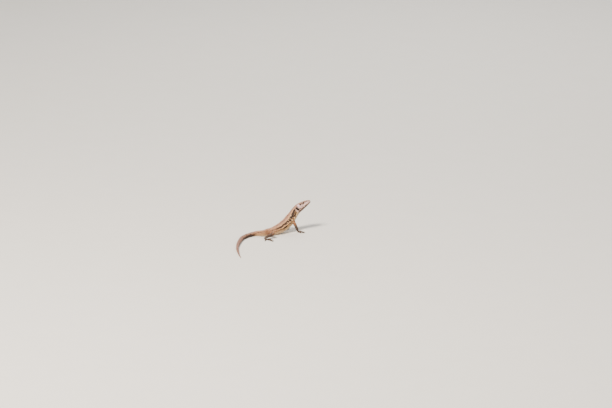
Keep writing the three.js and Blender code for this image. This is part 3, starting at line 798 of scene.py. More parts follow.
def markingsGroup():
    tree = bpy.data.node_groups.new("wallLizardMarkings", "ShaderNodeTree")
    tree.interface.new_socket("Color", in_out="OUTPUT", socket_type="NodeSocketColor")
    blotch, tone, reach = (addNode(tree, "Attribute", attribute_name=name).outputs["Fac"]
                           for name in ("blotch", "tone", "reach"))
    lie, root = (addNode(tree, "Attribute", attribute_name=name).outputs["Vector"]
                 for name in ("lie", "root"))
    split = addNode(tree, "SeparateXYZ", [lie])
    wobble = addNode(tree, "Math", [addNode(tree, "TexNoise", [root, 0.5, 2.0]), 0.08, -0.04],
                     operation="MULTIPLY_ADD")
    around = addNode(tree, "Math", [split.outputs["Y"], wobble])
    mottle = addNode(tree, "TexNoise", [root, 0.8, 3.0])
    grain = addNode(tree, "TexNoise", [root, 1.9, 2.0])
    shift = addNode(tree, "TexNoise", [root, 1.3, 2.0]).outputs["Color"]
    warped = addNode(tree, "VectorMath", [shift, (0.9, 0.9, 0.9), root], operation="MULTIPLY_ADD")
    shares = {
        "head": addNode(tree, "MapRange", [split.outputs["X"], *markings["headFrom"]],
                        interpolation_type="SMOOTHSTEP"),
        "tail": addNode(tree, "MapRange", [split.outputs["X"], *markings["tailFrom"]],
                        interpolation_type="SMOOTHSTEP"),
        "limb": split.outputs["Z"],
    }
    colour = None
    for name in ("trunk", "head", "tail", "limb"):
        marks = markings[name]
        ground = addNode(tree, "ValToRGB", [around], marks["ground"])
        if name == "limb":
            lower = addNode(tree, "MapRange", [reach, *markings["lowerLeg"]], interpolation_type="SMOOTHSTEP")
            lower = addNode(tree, "Math", [lower, 0.92], operation="MULTIPLY")
            ground = addNode(tree, "Mix", [lower, ground, linear(markings["forearm"])], data_type="RGBA")
        light = addNode(tree, "Mix", [0.16, ground, linear(markings["mottle"])], data_type="RGBA")
        share = addNode(tree, "MapRange", [mottle, 0.4, 0.72], interpolation_type="SMOOTHSTEP")
        ground = addNode(tree, "Mix", [share, ground, light], data_type="RGBA")
        cover = addNode(tree, "ValToRGB", [around], marks["dark"])
        if "fades" in marks:  # further back the net thins out and the ground grows plain
            start, end, least = marks["fades"]
            faded = addNode(tree, "MapRange", [split.outputs["X"], start, end],
                            interpolation_type="SMOOTHSTEP")
            thinner = addNode(tree, "MapRange", [faded, 0.0, 1.0, 1.0, least])
            cover = addNode(tree, "Math", [cover, thinner], operation="MULTIPLY")
            under = addNode(tree, "MapRange", [around, 0.75, 0.5, 0.0, 0.65])
            faded = addNode(tree, "Math", [faded, under], operation="MULTIPLY")
            ground = addNode(tree, "Mix", [faded, ground, linear(marks["plain"])], data_type="RGBA")
        net = addNode(tree, "TexVoronoi", [warped, 1 / marks["cell"]], feature="DISTANCE_TO_EDGE")
        field = addNode(tree, "Math", [net, marks["net"][0], marks["net"][1]], operation="MULTIPLY_ADD")
        field = addNode(tree, "Math", [grain, marks["net"][2], field], operation="MULTIPLY_ADD")
        cover = addNode(tree, "Math", [cover, 1.08, -0.09], operation="MULTIPLY_ADD")
        past = addNode(tree, "Math", [cover, field], operation="SUBTRACT")
        dark = addNode(tree, "MapRange", [past, -0.05, 0.07], interpolation_type="SMOOTHSTEP")
        cell = addNode(tree, "TexVoronoi", {"Vector": warped, "Scale": 1 / marks["cell"]}, feature="F1")
        pick = addNode(tree, "SeparateColor", [cell.outputs["Color"]])
        chosen = addNode(tree, "Math", [pick, marks["few"]], operation="LESS_THAN")
        upper = addNode(tree, "MapRange", [around, marks["low"] + 0.05, marks["low"]])
        chosen = addNode(tree, "Math", [chosen, upper], operation="MULTIPLY")
        spot = addNode(tree, "MapRange", [cell, marks["spot"], marks["spot"] - 0.1],
                       interpolation_type="SMOOTHSTEP")
        spot = addNode(tree, "Math", [spot, chosen], operation="MULTIPLY")
        dark = addNode(tree, "Math", [dark, spot], operation="MAXIMUM")
        dark = addNode(tree, "Math", [dark, 0.92], operation="MULTIPLY")
        if marks["pale"]:
            chosen = addNode(tree, "Math", [pick.outputs["Green"], marks["pale"]], operation="LESS_THAN")
            paler = addNode(tree, "MapRange", [cell, 0.42, 0.28, 0.0, 0.85], interpolation_type="SMOOTHSTEP")
            paler = addNode(tree, "Math", [paler, chosen], operation="MULTIPLY")
            paler = addNode(tree, "Math", [1.0, paler], operation="SUBTRACT")
            dark = addNode(tree, "Math", [dark, paler], operation="MULTIPLY")
        made = addNode(tree, "Mix", [dark, ground, linear(marks["ink"])], data_type="RGBA")
        if colour is None:
            colour = made
        else:
            colour = addNode(tree, "Mix", [shares[name], colour, made], data_type="RGBA")
    light = addNode(tree, "Mix", [shares["head"], linear(markings["light"]), linear(markings["temple"])],
                    data_type="RGBA")
    # The ink and the black also carry the painted shade in the nostrils, the ear openings and the mouth's
    # seam.
    paints = ((0.1, 1.1, light), (-0.1, -0.9, linear(markings["trunk"]["ink"])),
              (-1.2, -2.2, linear(markings["black"])))
    for low, high, paint in paints:  # from weak to full strength
        share = addNode(tree, "MapRange", [blotch, low, high], interpolation_type="SMOOTHSTEP")
        colour = addNode(tree, "Mix", [share, colour, paint], data_type="RGBA")
    # tone brightens or darkens: a random tone for each scale, and painted shade on the skin between the
    # scales and on the shields' sunk edges
    tint = addNode(tree, "Math", [tone, 0.12, 1.0], operation="MULTIPLY_ADD")
    tint = addNode(tree, "CombineColor", [tint, tint, tint])
    colour = addNode(tree, "Mix", [1.0, colour, tint], data_type="RGBA", blend_type="MULTIPLY")
    addNode(tree, "NodeGroupOutput", [colour])
    return tree


group = markingsGroup()


def material(name, **sockets):
    made = bpy.data.materials.new(name)
    made.use_nodes = True
    shader = made.node_tree.nodes["Principled BSDF"]
    for key, value in sockets.items():
        shader.inputs[key.replace("_", " ")].default_value = value
    return made, made.node_tree, shader


# Living skin: keratin over flesh, so a soft, low gloss. The fine grain is 0.05 mm, drawn at 0.1 mm so
# that it shows.
# shade darkens the whole colour; the skin's 0.72, with its tone of -1.8, is partly the darker skin between
# the scales and partly painted shade in the gaps between them.
hides = {
    "keratinSkin": {
        "rough": (0.55, 0.68), "shade": 0.72, "grain": 10, "bump": 0.02, "ior": 1.5, "gloss": 0.3},
    "keratinScale": {
        "rough": (0.4, 0.55), "shade": 1.0, "grain": 7, "bump": 0.012, "ior": 1.54, "gloss": 0.32},
    "keratinPlate": {
        "rough": (0.3, 0.42), "shade": 1.0, "grain": 5, "bump": 0.01, "ior": 1.54, "gloss": 0.4},
}


def hide(name):
    given = hides[name]
    made, tree, shader = material(name, IOR=given["ior"], Specular_IOR_Level=given["gloss"])
    colour = addNode(tree, "Group", node_tree=group)
    where = addNode(tree, "TexCoord").outputs["Object"]
    grain = addNode(tree, "TexNoise", [where, given["grain"] / mm, 3.0])
    fleck = addNode(tree, "MapRange", [grain, 0.3, 0.7], interpolation_type="SMOOTHSTEP")
    low, high = given["shade"] * 0.85, given["shade"]
    flecks = (low, low * 0.97, low * 0.95, 1), (high, high * 0.98, high * 0.97, 1)
    fleck = addNode(tree, "Mix", [fleck, *flecks], data_type="RGBA")
    colour = addNode(tree, "Mix", [1.0, colour, fleck], data_type="RGBA", blend_type="MULTIPLY")
    rough = addNode(tree, "Math", [grain, given["rough"][1] - given["rough"][0], given["rough"][0]],
                    operation="MULTIPLY_ADD")
    relief = addNode(tree, "Bump", {"Height": grain, "Strength": 0.35, "Distance": given["bump"] * mm})
    for key, value in (("Base Color", colour), ("Roughness", rough), ("Normal", relief)):
        plug(tree, shader.inputs[key], value)
    return made


finishes = {name: hide(name) for name in hides}


def makePiece(name, mesh, finish, slotName, *nodes):
    mesh.transform(Matrix.Scale(mm, 4))
    mesh.name = name
    mesh.materials.clear()
    mesh.materials.append(finish)
    mesh.shade_smooth()
    piece = bpy.data.objects.new(name, mesh)
    bpy.context.scene.collection.objects.link(piece)
    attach(piece, "root")
    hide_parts(*nodes)
    print(name, len(mesh.polygons))


# The skin shows between the scales: its tone of -1.8 darkens it, partly its own colour and partly painted
# shade in the gaps.
setMarks(skinMesh, marksAt(coordinates(skinMesh), coordinates(skinMesh, "normals")), -1.8)
flesh = [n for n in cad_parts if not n.startswith(("eye_", "ear_"))]
makePiece("skin", skinMesh, finishes["keratinSkin"], "trunk_skin", *flesh)

# Eyeballs: a dark, wet ball with a brown iris, a thin gold ring and a round pupil.
iris = {"pupil": 0.31, "ring": 0.335, "edge": 0.66, "colours": ["050403", "9a6526", "3f2010", "120a06"]}


def eyeFinish():
    made, tree, shader = material("wetEye", Roughness=0.08, IOR=1.38, Coat_Weight=1.0, Coat_Roughness=0.03)
    gaze = addNode(tree, "Attribute", attribute_name="gaze").outputs["Vector"]
    split = addNode(tree, "SeparateXYZ", [gaze])
    flat = addNode(tree, "VectorMath", [gaze, (1, 1, 0)], operation="MULTIPLY")
    far = addNode(tree, "VectorMath", [flat], operation="LENGTH")
    turn = addNode(tree, "Math", [split.outputs["Y"], split.outputs["X"]], operation="ARCTAN2")
    turn = addNode(tree, "Math", [turn, 6.0], operation="MULTIPLY")
    outward = addNode(tree, "Math", [far, 5.0], operation="MULTIPLY")
    fibre = addNode(tree, "TexNoise", [addNode(tree, "CombineXYZ", [turn, outward]), 1.6, 3.0])
    pupil, gold, brown, edge = iris["colours"]
    ring = addNode(tree, "ValToRGB", [far], [
        (0, pupil), (iris["pupil"] - 0.02, pupil), (iris["pupil"] + 0.02, gold), (iris["ring"], gold),
        (iris["ring"] + 0.06, brown), (iris["edge"] - 0.08, brown), (iris["edge"], edge), (1, edge)])
    darker = addNode(tree, "Mix", [0.45, ring, linear("0a0705")], data_type="RGBA")
    share = addNode(tree, "MapRange", [fibre, 0.35, 0.75], interpolation_type="SMOOTHSTEP")
    plug(tree, shader.inputs["Base Color"], addNode(tree, "Mix", [share, ring, darker], data_type="RGBA"))
    return made


wetEye = eyeFinish()
for side, socket in eyes.items():
    ball = bmesh.new()
    bmesh.ops.create_uvsphere(ball, u_segments=48, v_segments=32, radius=1.0)
    local = np.array([v.co for v in ball.verts])
    cornea = 1 + 0.05 * (1 - smooth(0.3, 0.7, np.hypot(local[:, 0], local[:, 1]))) * (local[:, 2] > 0)
    placed = socket["centre"] + (local * cornea[:, None] * eye["ball"]) @ socket["axes"]
    moveTo(ball.verts, placed)
    bmesh.ops.recalc_face_normals(ball, faces=ball.faces[:])
    mesh = meshOf(ball, "eye")
    setAttribute(mesh, "gaze", local)
    name = "Left" if side > 0 else "Right"
    makePiece("eye" + name, mesh, wetEye, "eye", "eye_" + name.lower())

# Eardrums: a thin dark membrane at the bottom of each ear opening.
made, tree, shader = material("thinMembrane", Roughness=0.38, IOR=1.45)
cloud = addNode(tree, "TexNoise", [addNode(tree, "TexCoord").outputs["Object"], 2.2 / mm, 3.0])
share = addNode(tree, "MapRange", [cloud, 0.35, 0.7], interpolation_type="SMOOTHSTEP")
colour = addNode(tree, "Mix", [share, linear("20150f"), linear("46342a")], data_type="RGBA")
plug(tree, shader.inputs["Base Color"], colour)
relief = addNode(tree, "Bump", {"Height": cloud, "Strength": 0.4, "Distance": 0.03 * mm})
plug(tree, shader.inputs["Normal"], relief)
for side in (1, -1):
    at = np.array([ear["at"]])
    ahead, up, out = headAxes(ear["at"], side)
    centre = onBody(at, degreesUp(at, ear["above"], side), -body["coat"])[0] - out * 0.6
    drum = bmesh.new()
    bmesh.ops.create_uvsphere(drum, u_segments=32, v_segments=16, radius=1.0)
    bmesh.ops.scale(drum, vec=(ear["long"] * 1.1, ear["high"] * 1.1, 0.1), verts=drum.verts)
    local = np.array([v.co for v in drum.verts])
    local[:, 2] -= 0.12 * (1 - smooth(0, 0.6, np.hypot(local[:, 0], local[:, 1])))  # drawn in at its middle
    moveTo(drum.verts, centre + local @ np.array([ahead, up, out]))
    bmesh.ops.recalc_face_normals(drum, faces=drum.faces[:])
    name = "Left" if side > 0 else "Right"
    makePiece("eardrum" + name, meshOf(drum, "drum"), made, "eardrum", "ear_" + name.lower())

# Claws: dark horn, paler and clearer towards the point.
made, tree, shader = material("horn", Roughness=0.3, IOR=1.54)
tip = addNode(tree, "Attribute", attribute_name="tip").outputs["Fac"]
grain = addNode(tree, "TexNoise", [addNode(tree, "TexCoord").outputs["Object"], 6 / mm, 2.0])
colour = addNode(tree, "ValToRGB", [tip], [(0, "6b5240"), (0.45, "46331f"), (1, "9a7f60")])
share = addNode(tree, "MapRange", [grain, 0.3, 0.8], interpolation_type="SMOOTHSTEP")
plug(tree, shader.inputs["Base Color"],
     addNode(tree, "Mix", [share, colour, linear("33241a")], data_type="RGBA"))
horn = bmesh.new()
for line in claws.values():
    addTube(horn, onLine(line), 0, line["at"][-1], claw["rings"], claw["sides"])
for vert in horn.verts:
    vert.co.z = max(vert.co.z, 0.01)
bmesh.ops.recalc_face_normals(horn, faces=horn.faces[:])
clawMesh = meshOf(horn, "claws")
ends = np.array([line["place"][-1] for line in claws.values()])
far = np.min(np.linalg.norm(coordinates(clawMesh)[:, None] - ends[None], axis=2), 1)
setAttribute(clawMesh, "tip", 1 - np.clip(far / 1.1, 0, 1))
makePiece("claws", clawMesh, made, "claw")


# Scales. Each is a small closed shape laid on the skin by its place along and round the body, and
# carries the markings of its root.
def scaleShape(sides, rings, outline=2.0, keel=0.0, lift=0.0, dome=0.0):
    bm = bmesh.new()
    bmesh.ops.create_circle(bm, cap_ends=True, segments=sides, radius=1.0)
    face = bm.faces[:][0]
    if face.normal.z < 0:
        bmesh.ops.reverse_faces(bm, faces=[face])
    reach, height = rings[0]
    bmesh.ops.translate(bm, vec=(0, 0, height), verts=bm.verts)
    for nextReach, nextHeight in rings[1:]:
        bmesh.ops.inset_individual(bm, faces=[face], thickness=reach - nextReach, depth=nextHeight - height)
        reach, height = nextReach, nextHeight
    middle = bmesh.ops.poke(bm, faces=[face])["verts"]
    bmesh.ops.translate(bm, vec=(0, 0, dome), verts=middle)
    bmesh.ops.holes_fill(bm, edges=[e for e in bm.edges if e.is_boundary], sides=0)
    bmesh.ops.triangulate(bm, faces=bm.faces[:])
    bmesh.ops.recalc_face_normals(bm, faces=bm.faces[:])
    verts, faces = arraysOf(bm)
    far = np.maximum(np.hypot(verts[:, 0], verts[:, 1]), 1e-6)
    c, s = np.abs(verts[:, 0]) / far, np.abs(verts[:, 1]) / far
    verts[:, :2] *= (np.maximum(c ** outline + s ** outline, 0.1) ** (-1 / outline))[:, None]
    above = verts[:, 2] > 0
    ridge = np.clip(1 - np.abs(verts[:, 1]) / 0.45, 0, 1)
    verts[:, 2] += above * (keel * ridge + lift * (verts[:, 0] + 1) / 2)
    return {"verts": verts, "faces": faces}


shapes = {
    "granule": scaleShape(6, [(1, -0.6), (0.84, 0.4), (0.45, 0.9)], dome=0.1),
    "bead": scaleShape(6, [(1, -0.6), (0.7, 0.65)], dome=0.35),
    "plate": scaleShape(16, [(1, -0.6), (0.95, 0.5), (0.82, 0.85)], outline=6, lift=0.7, dome=0.1),
    "keeled": scaleShape(8, [(1, -0.6), (0.88, 0.4), (0.6, 0.7)], outline=3, keel=0.5, lift=0.7, dome=0.1),
    "scute": scaleShape(8, [(1, -0.6), (0.86, 0.5), (0.6, 0.8)], outline=3.4, lift=0.5, dome=0.15),
}
coats = {}
tiles = {"body": (0.01, 0.01, 0.98, 0.54)}  # where each part of the skin lies on its unwrap
for i, name in enumerate(limbs):
    tiles[name] = (0.01 + 0.245 * i, 0.57, 0.235, 0.2)
    tiles["palm" + name] = (0.01 + 0.245 * i, 0.78, 0.235, 0.03)
for i, name in enumerate(digits):
    tiles[name] = (0.01 + 0.049 * i, 0.82, 0.045, 0.17)


def draped(points, tree=skinTree):  # the skin's nearest places to points, its normals there, and how far
    found = [tree.find_nearest(p) for p in points.reshape(-1, 3)]
    shape = points.shape
    return (np.array([f[0] for f in found]).reshape(shape), np.array([f[1] for f in found]).reshape(shape),
            np.array([f[3] for f in found]).reshape(shape[:-1]))


def unwrapped(tile, at, turn, end):
    u, v, wide, high = tiles[tile]
    return np.stack([u + wide * at / end, v + high * ((turn + 270) % 360) / 360], -1)


def outsideOf(lines, start, room):  # a test of which points are clear of legs or digits
    chosen = [line["at"] >= start for line in lines.values()]
    tree = treeThrough(np.vstack([line["place"][c] for c, line in zip(chosen, lines.values())]))
    radii = np.concatenate([line["radius"][c] for c, line in zip(chosen, lines.values())]) + room

    def test(points):
        found = [tree.find(p)[1:] for p in points]
        return np.array([far - radii[i] for i, far in found]) > 0
    return test


outsideLimbs = outsideOf(limbs, 0, -0.05)
outsideDigits = outsideOf(digits, 0.6, 0.08)


def outsideBody(points):
    return inBody(points)["out"] > -0.05


# How far off the skin a scale's root may start, and half of its patch on the unwrap.
scaleLay = {"drop": 0.5, "headDrop": 1.0, "patch": 0.0014}


def lay(coat, shape, surface, tile, end, at, turn, long, wide, high, allowed=None, tone=1.0,
        tree=skinTree):
    at, turn, long, wide, high = np.broadcast_arrays(*np.atleast_1d(at, turn, long, wide, high))
    far = draped(surface(at, turn), tree)[2]
    keep = far < (scaleLay["headDrop"] if coat == "headScales" else scaleLay["drop"])
    if allowed is not None:
        keep &= allowed(surface(at, turn))
    at, turn, long, wide, high = (v[keep] for v in (at, turn, long, wide, high))
    if not len(at):
        return
    root = surface(at, turn)
    alongRate = np.linalg.norm(surface(at + 0.05, turn) - surface(at - 0.05, turn), axis=1) / 0.1
    roundRate = np.linalg.norm(surface(at, turn + 1) - surface(at, turn - 1), axis=1) / 2
    x, y, h = shape["verts"].T
    base = surface(at[:, None] + x * (long / 2 / np.maximum(alongRate, 0.3))[:, None],
                   turn[:, None] + y * (wide / 2 / np.maximum(roundRate, 1e-3))[:, None])
    points, normals, _ = draped(base, tree)
    normal = unit(normals.mean(1))
    rootOn, rootNormal, _ = draped(root, tree)
    points = points + normal[:, None] * (h * high[:, None])[..., None]
    uv = unwrapped(tile, at, turn, end)[:, None] + np.stack([x, y], -1) * scaleLay["patch"]
    coats.setdefault(coat, []).append({
        "points": points, "faces": shape["faces"], "uv": uv, "roots": rootOn, "normals": rootNormal,
        "tone": np.clip(chance.normal(size=len(at)), -2, 2) * tone,
    })


def joined(name):
    points, faces, uv, marks, tones, count = [], [], [], [], [], 0
    for laid in coats.pop(name):
        many, each = laid["points"].shape[:2]
        faces.append((laid["faces"][None] + count + np.arange(many)[:, None, None] * each).reshape(-1, 3))
        points.append(laid["points"].reshape(-1, 3))
        uv.append(laid["uv"].reshape(-1, 2))
        found = marksAt(laid["roots"].reshape(-1, 3), laid["normals"].reshape(-1, 3))
        times = 1 if laid["roots"].ndim == 3 else each
        marks.append({k: np.repeat(v, times, 0) for k, v in found.items()})
        tones.append(laid["tone"] if len(laid["tone"]) > many else np.repeat(laid["tone"], each))
        count += many * each
    points, faces, uv = np.vstack(points), np.vstack(faces), np.vstack(uv)
    points[:, 2] = np.maximum(points[:, 2], 0.004)
    mesh = bpy.data.meshes.new(name)
    mesh.vertices.add(len(points))
    mesh.vertices.foreach_set("co", points.astype(np.float32).ravel())
    mesh.loops.add(faces.size)
    mesh.loops.foreach_set("vertex_index", faces.astype(np.int32).ravel())
    mesh.polygons.add(len(faces))
    mesh.polygons.foreach_set("loop_start", np.arange(0, faces.size, 3, dtype=np.int32))
    mesh.update(calc_edges=True)
    outward = bmesh.new()
    outward.from_mesh(mesh)
    bmesh.ops.recalc_face_normals(outward, faces=outward.faces[:])
    outward.to_mesh(mesh)
    outward.free()
    faces = np.empty(len(mesh.loops), np.int32)
    mesh.loops.foreach_get("vertex_index", faces)
    layer = mesh.uv_layers.new(name="OFBake")
    layer.data.foreach_set("uv", uv[faces.ravel()].astype(np.float32).ravel())
    setMarks(mesh, {k: np.concatenate([m[k] for m in marks]) for k in marks[0]}, np.concatenate(tones))
    return mesh


def rowRound(surface, at, low, high, pitch, offset):  # evenly spaced turns round one row
    turn = np.linspace(low, high, 121)
    places = surface(np.full(121, at), turn)
    run = np.concatenate([[0], np.cumsum(np.linalg.norm(np.diff(places, axis=0), axis=1))])
    count = max(3, round(run[-1] / pitch))
    return np.interp((np.arange(count) + offset) / count * run[-1], run, turn), run[-1] / count


def layRows(coat, shape, surface, tile, end, start, stop, low, high, size, allowed=None, ease=None):
    at, row, made = start, 0, []
    while at < stop:
        grow = ease(at) if ease else 1.0
        turns, wide = rowRound(surface, at, low, high, size["wide"] * grow, 0.25 + 0.5 * (row % 2))
        turns = turns + chance.normal(size=len(turns)) * 0.6
        places = at + chance.normal(size=len(turns)) * 0.02
        made.append(np.stack([places, turns, turns * 0 + wide * size["over"],
                              turns * 0 + size["long"] * grow * size["over"]], 1))
        at += size["long"] * grow
        row += 1
    at, turn, wide, long = np.vstack(made).T
    lay(coat, shape, surface, tile, end, at, turn, long, wide, size["high"], allowed)


# Shields of the head. Corners are a distance from the snout with a place across it, in mm: from above
# ("crown"), from below ("chin"), up from the mouth line ("lips"), or round the section ("ring"). Those
# named in "middle" are mirrored into one shield and the others are made on both sides.
shields = {
    "crown": {
        "supranasal": [(0.82, 0), (0.78, 0.75), (1.0, 1.15), (1.5, 1.5), (2.15, 1.4), (2.3, 0)],
        "frontonasal": [(2.3, 0), (2.17, 1.4), (2.95, 1.6), (3.65, 0.85), (3.95, 0)],
        "prefrontal": [(3.95, 0), (3.65, 0.87), (3.0, 1.62), (3.9, 2.05), (4.9, 1.75), (5.35, 0.78),
                       (4.9, 0)],
        "frontal": [(4.9, 0), (5.38, 0.8), (6.4, 0.84), (8.2, 0.64), (8.7, 0.45), (8.95, 0)],
        "supraocular1": [(4.95, 1.77), (5.4, 0.82), (5.9, 0.88), (5.75, 2.25), (5.2, 2.15)],
        "supraocular2": [(5.93, 0.9), (7.2, 0.8), (7.25, 2.62), (5.78, 2.28)],
        "supraocular3": [(7.23, 0.8), (8.22, 0.67), (8.75, 0.82), (8.95, 2.6), (7.28, 2.64)],
        "supraocular4": [(8.78, 0.84), (9.38, 1.18), (9.75, 2.35), (8.98, 2.6)],
        "frontoparietal": [(8.97, 0), (8.73, 0.45), (8.78, 0.8), (9.4, 1.15), (10.2, 1.17), (10.45, 0.3),
                           (10.4, 0)],
        "interparietal": [(10.42, 0), (10.48, 0.32), (11.2, 0.5), (12.3, 0.22), (12.35, 0)],
        "occipital": [(12.37, 0), (12.33, 0.24), (13.0, 0.5), (13.1, 0)],
        "parietal": [(9.42, 1.2), (10.22, 1.2), (10.5, 0.34), (11.2, 0.53), (12.3, 0.27), (13.0, 0.55),
                     (13.0, 1.6), (12.4, 2.5), (10.9, 2.95), (9.8, 2.4)],
    },
    "lips": {
        "postnasal": [(1.85, 0.82), (1.82, 1.35), (2.45, 1.75), (2.75, 0.87)],
        "loreal1": [(2.8, 0.87), (2.5, 1.75), (3.5, 2.2), (3.95, 0.95)],
        "loreal2": [(4.0, 0.95), (3.55, 2.22), (4.7, 2.62), (5.35, 2.1), (5.3, 1.1)],
        "preocular": [(5.35, 1.15), (5.4, 2.15), (5.75, 2.75), (5.95, 2.1), (5.95, 1.35)],
        "subocular": [(5.05, 0.08), (5.05, 0.88), (5.9, 1.25), (7.9, 1.42), (8.35, 1.0), (7.85, 0.08)],
        "supralabial6": [(7.9, 0.08), (8.4, 0.98), (9.15, 0.9), (9.1, 0.08)],
        "supralabial7": [(9.15, 0.08), (9.2, 0.88), (10.3, 0.75), (10.45, 0.12)],
    },
    "chin": {
        "chin1": [(0.95, 0), (0.9, 0.75), (2.0, 1.4), (2.35, 0)],
        "chin2": [(2.38, 0), (2.05, 1.42), (3.6, 2.05), (4.15, 0)],
        "chin3": [(4.18, 0), (3.65, 2.07), (5.4, 2.5), (6.35, 1.4), (6.25, 0)],
        "chin4": [(6.38, 1.42), (5.5, 2.55), (7.4, 2.9), (8.3, 2.15)],
        "chin5": [(8.35, 2.2), (7.5, 2.95), (9.2, 3.2), (9.65, 2.75)],
    },
    "ring": {
        "rostral": [(0.16, 0), (0.16, 1.6), (0.3, 2.05), (0.62, 1.85), (0.76, 0.85), (0.82, 0.0)],
        "mental": [(0.16, 7.4), (0.16, 6.4), (0.35, 5.9), (0.8, 6.3), (0.95, 7.4)],
        "masseteric": [(10.6, 2.5), (11.3, 1.95), (12.0, 2.3), (12.05, 2.95), (11.35, 3.35), (10.65, 3.1)],
        "tympanic": [(12.9, 1.35), (13.6, 1.15), (14.2, 1.3), (13.6, 1.6), (13.05, 1.75)],
        "temporal1": [(9.85, 1.35), (10.9, 1.05), (11.0, 1.5), (10.3, 1.85)],
        "temporal2": [(10.95, 1.03), (12.2, 0.98), (12.3, 1.4), (11.05, 1.5)],
    },
    "middle": ["frontonasal", "frontal", "interparietal", "occipital", "rostral", "mental"],
    "ringScale": 24,  # degrees round the section to one unit of "ring", from the top of the head
    "gap": 0.012, "high": 0.085,
    "rings": [(0.0, -0.8), (0.03, 0.25), (0.075, 0.62), (0.16, 0.88)],  # distance in from the edge, height
    "spread": [0.85, 0.68, 0.5, 0.32, 0.16],
}
bounds, tops = [0.62, 1.5, 2.6, 3.8, 5.0], [0.6, 0.78, 0.84, 0.9]
for k, (first, last, top) in enumerate(zip(bounds, bounds[1:], tops)):
    shields["lips"]["supralabial" + str(k + 1)] = [
        (first + 0.02, 0.08), (first + 0.04, top - 0.06), (last, top), (last, 0.08)]
bounds = [0.75, 1.9, 3.2, 4.8, 6.6, 8.5, 10.3]
for k, (first, last) in enumerate(zip(bounds, bounds[1:])):
    shields["lips"]["infralabial" + str(k + 1)] = [
        (first + 0.02, -0.08), (last, -0.08), (last + 0.1, -0.75 + 0.05 * k), (first + 0.12, -0.7 + 0.05 * k)]


def onHead(chart, at, across, side):
    if chart == "crown":
        return onBody(at, degreesAcross(at, across * side), -body["coat"])
    if chart == "chin":
        return onBody(at, degreesAcross(at, across * side, under=True), -body["coat"])
    if chart == "lips":
        height = between(mouth["at"], mouth["height"], at) + across
        return onBody(at, degreesUp(at, height, side), -body["coat"])
    return onBody(at, 90 - across * side * shields["ringScale"], -body["coat"])


def shieldShape(corners):  # one shield on its chart: a rounded outline, a bevelled edge and a full middle
    bm = bmesh.new()
    face = bm.faces.new([bm.verts.new((x, y, 0)) for x, y in corners])
    face.normal_update()
    if face.normal.z < 0:
        bmesh.ops.reverse_faces(bm, faces=[face])
    bmesh.ops.bevel(bm, geom=bm.verts[:], offset=0.09, affect="VERTICES", segments=2, profile=0.5,
                    material=-1)
    longest = max(e.calc_length() for e in bm.edges)
    while longest > 0.3:
        edges = [e for e in bm.edges if e.calc_length() > 0.3]
        bmesh.ops.subdivide_edges(bm, edges=edges, cuts=1)
        longest = max(e.calc_length() for e in bm.edges)
    face = bm.faces[:][0]
    middle = face.calc_center_median_weighted()
    width = 2 * math.sqrt(face.calc_area() / math.pi)
    steps = [(1 - (shields["gap"] + d) / (width / 2), h) for d, h in shields["rings"]]
    steps += [(s * steps[-1][0], 0.92 + 0.12 * (1 - s * s)) for s in shields["spread"]]
    last, high = 1.0, 0.0
    for number, (share, height) in enumerate(steps):
        if number:
            bmesh.ops.inset_individual(bm, faces=[face], thickness=0.0)
        bmesh.ops.scale(bm, vec=(share / last, share / last, 1), space=Matrix.Translation(-middle),
                        verts=face.verts)
        bmesh.ops.translate(bm, vec=(0, 0, height - high), verts=face.verts)
        last, high = share, height
    under = bmesh.ops.holes_fill(bm, edges=[e for e in bm.edges if e.is_boundary], sides=0)["faces"]
    bmesh.ops.poke(bm, faces=[face] + under)
    bmesh.ops.triangulate(bm, faces=bm.faces[:])
    bmesh.ops.recalc_face_normals(bm, faces=bm.faces[:])
    return arraysOf(bm)


headEnd = 16  # where the head's unwrap ends, in mm from the snout
shieldPlaces = []
for chart in ("crown", "lips", "chin", "ring"):
    for name, corners in shields[chart].items():
        middle = name in shields["middle"]
        if middle:
            mirror = 15 if name == "mental" else 0  # the mental shield's middle is under the jaw
            inner = [c for c in corners if (c[1] < 7.4 if mirror else c[1] > 0)]
            corners = corners + [(x, mirror - y) for x, y in reversed(inner)]
        for side in (1,) if middle else (1, -1):
            verts, faces = shieldShape(corners)
            base = onHead(chart, np.maximum(verts[:, 0], 0.13), verts[:, 1], side)
            points, normals, _ = draped(base)
            points = points + normals * (verts[:, 2:] * shields["high"])
            flat = inBody(points)
            turned = ((flat["degrees"] + 270) % 360) / 360
            # Each shield's sunk edge takes a tone 2.4 lower: partly darker sutures, partly painted shade in
            # the gaps between the shields.
            coats.setdefault("headShields", []).append({
                "points": points[None], "faces": faces if side > 0 else faces[:, ::-1],
                "uv": np.stack([0.02 + 0.96 * flat["at"] / headEnd, 0.02 + 0.96 * turned], -1)[None],
                "roots": points[None], "normals": normals[None],
                "tone": np.clip(chance.normal(size=1), -2, 2) * 0.5 - 2.4 * (verts[:, 2] < 0.5),
            })
            shieldPlaces.append(points)
shieldTree = treeThrough(np.vstack(shieldPlaces))
print("shields:", len(coats["headShields"]))


def offShields(points):
    return np.array([shieldTree.find(p)[2] for p in points]) > 0.15


def offFace(points):  # clear of the shields, the lids, the ears, the nostrils and the mouth's line
    points = draped(points)[0]
    clear = offShields(points)
    for side in (1, -1):
        local = inSocket(eyes[side], points)[0]
        clear &= (np.hypot(local[:, 0], local[:, 1]) > lidRows["clear"]) | (local[:, 2] < -0.7)
        for pit in pits.values():
            clear &= roundPit(pit, side, points, pit["profile"][0][0] + 0.06) > 1
    above = inBody(points)
    gapHere = np.abs(above["y"] - between(mouth["at"], mouth["height"], above["at"])) < 0.16
    return clear & ~(gapHere & (above["at"] < mouth["end"]))


def onSkin(at, turn):
    return onBody(at, turn, -body["coat"])


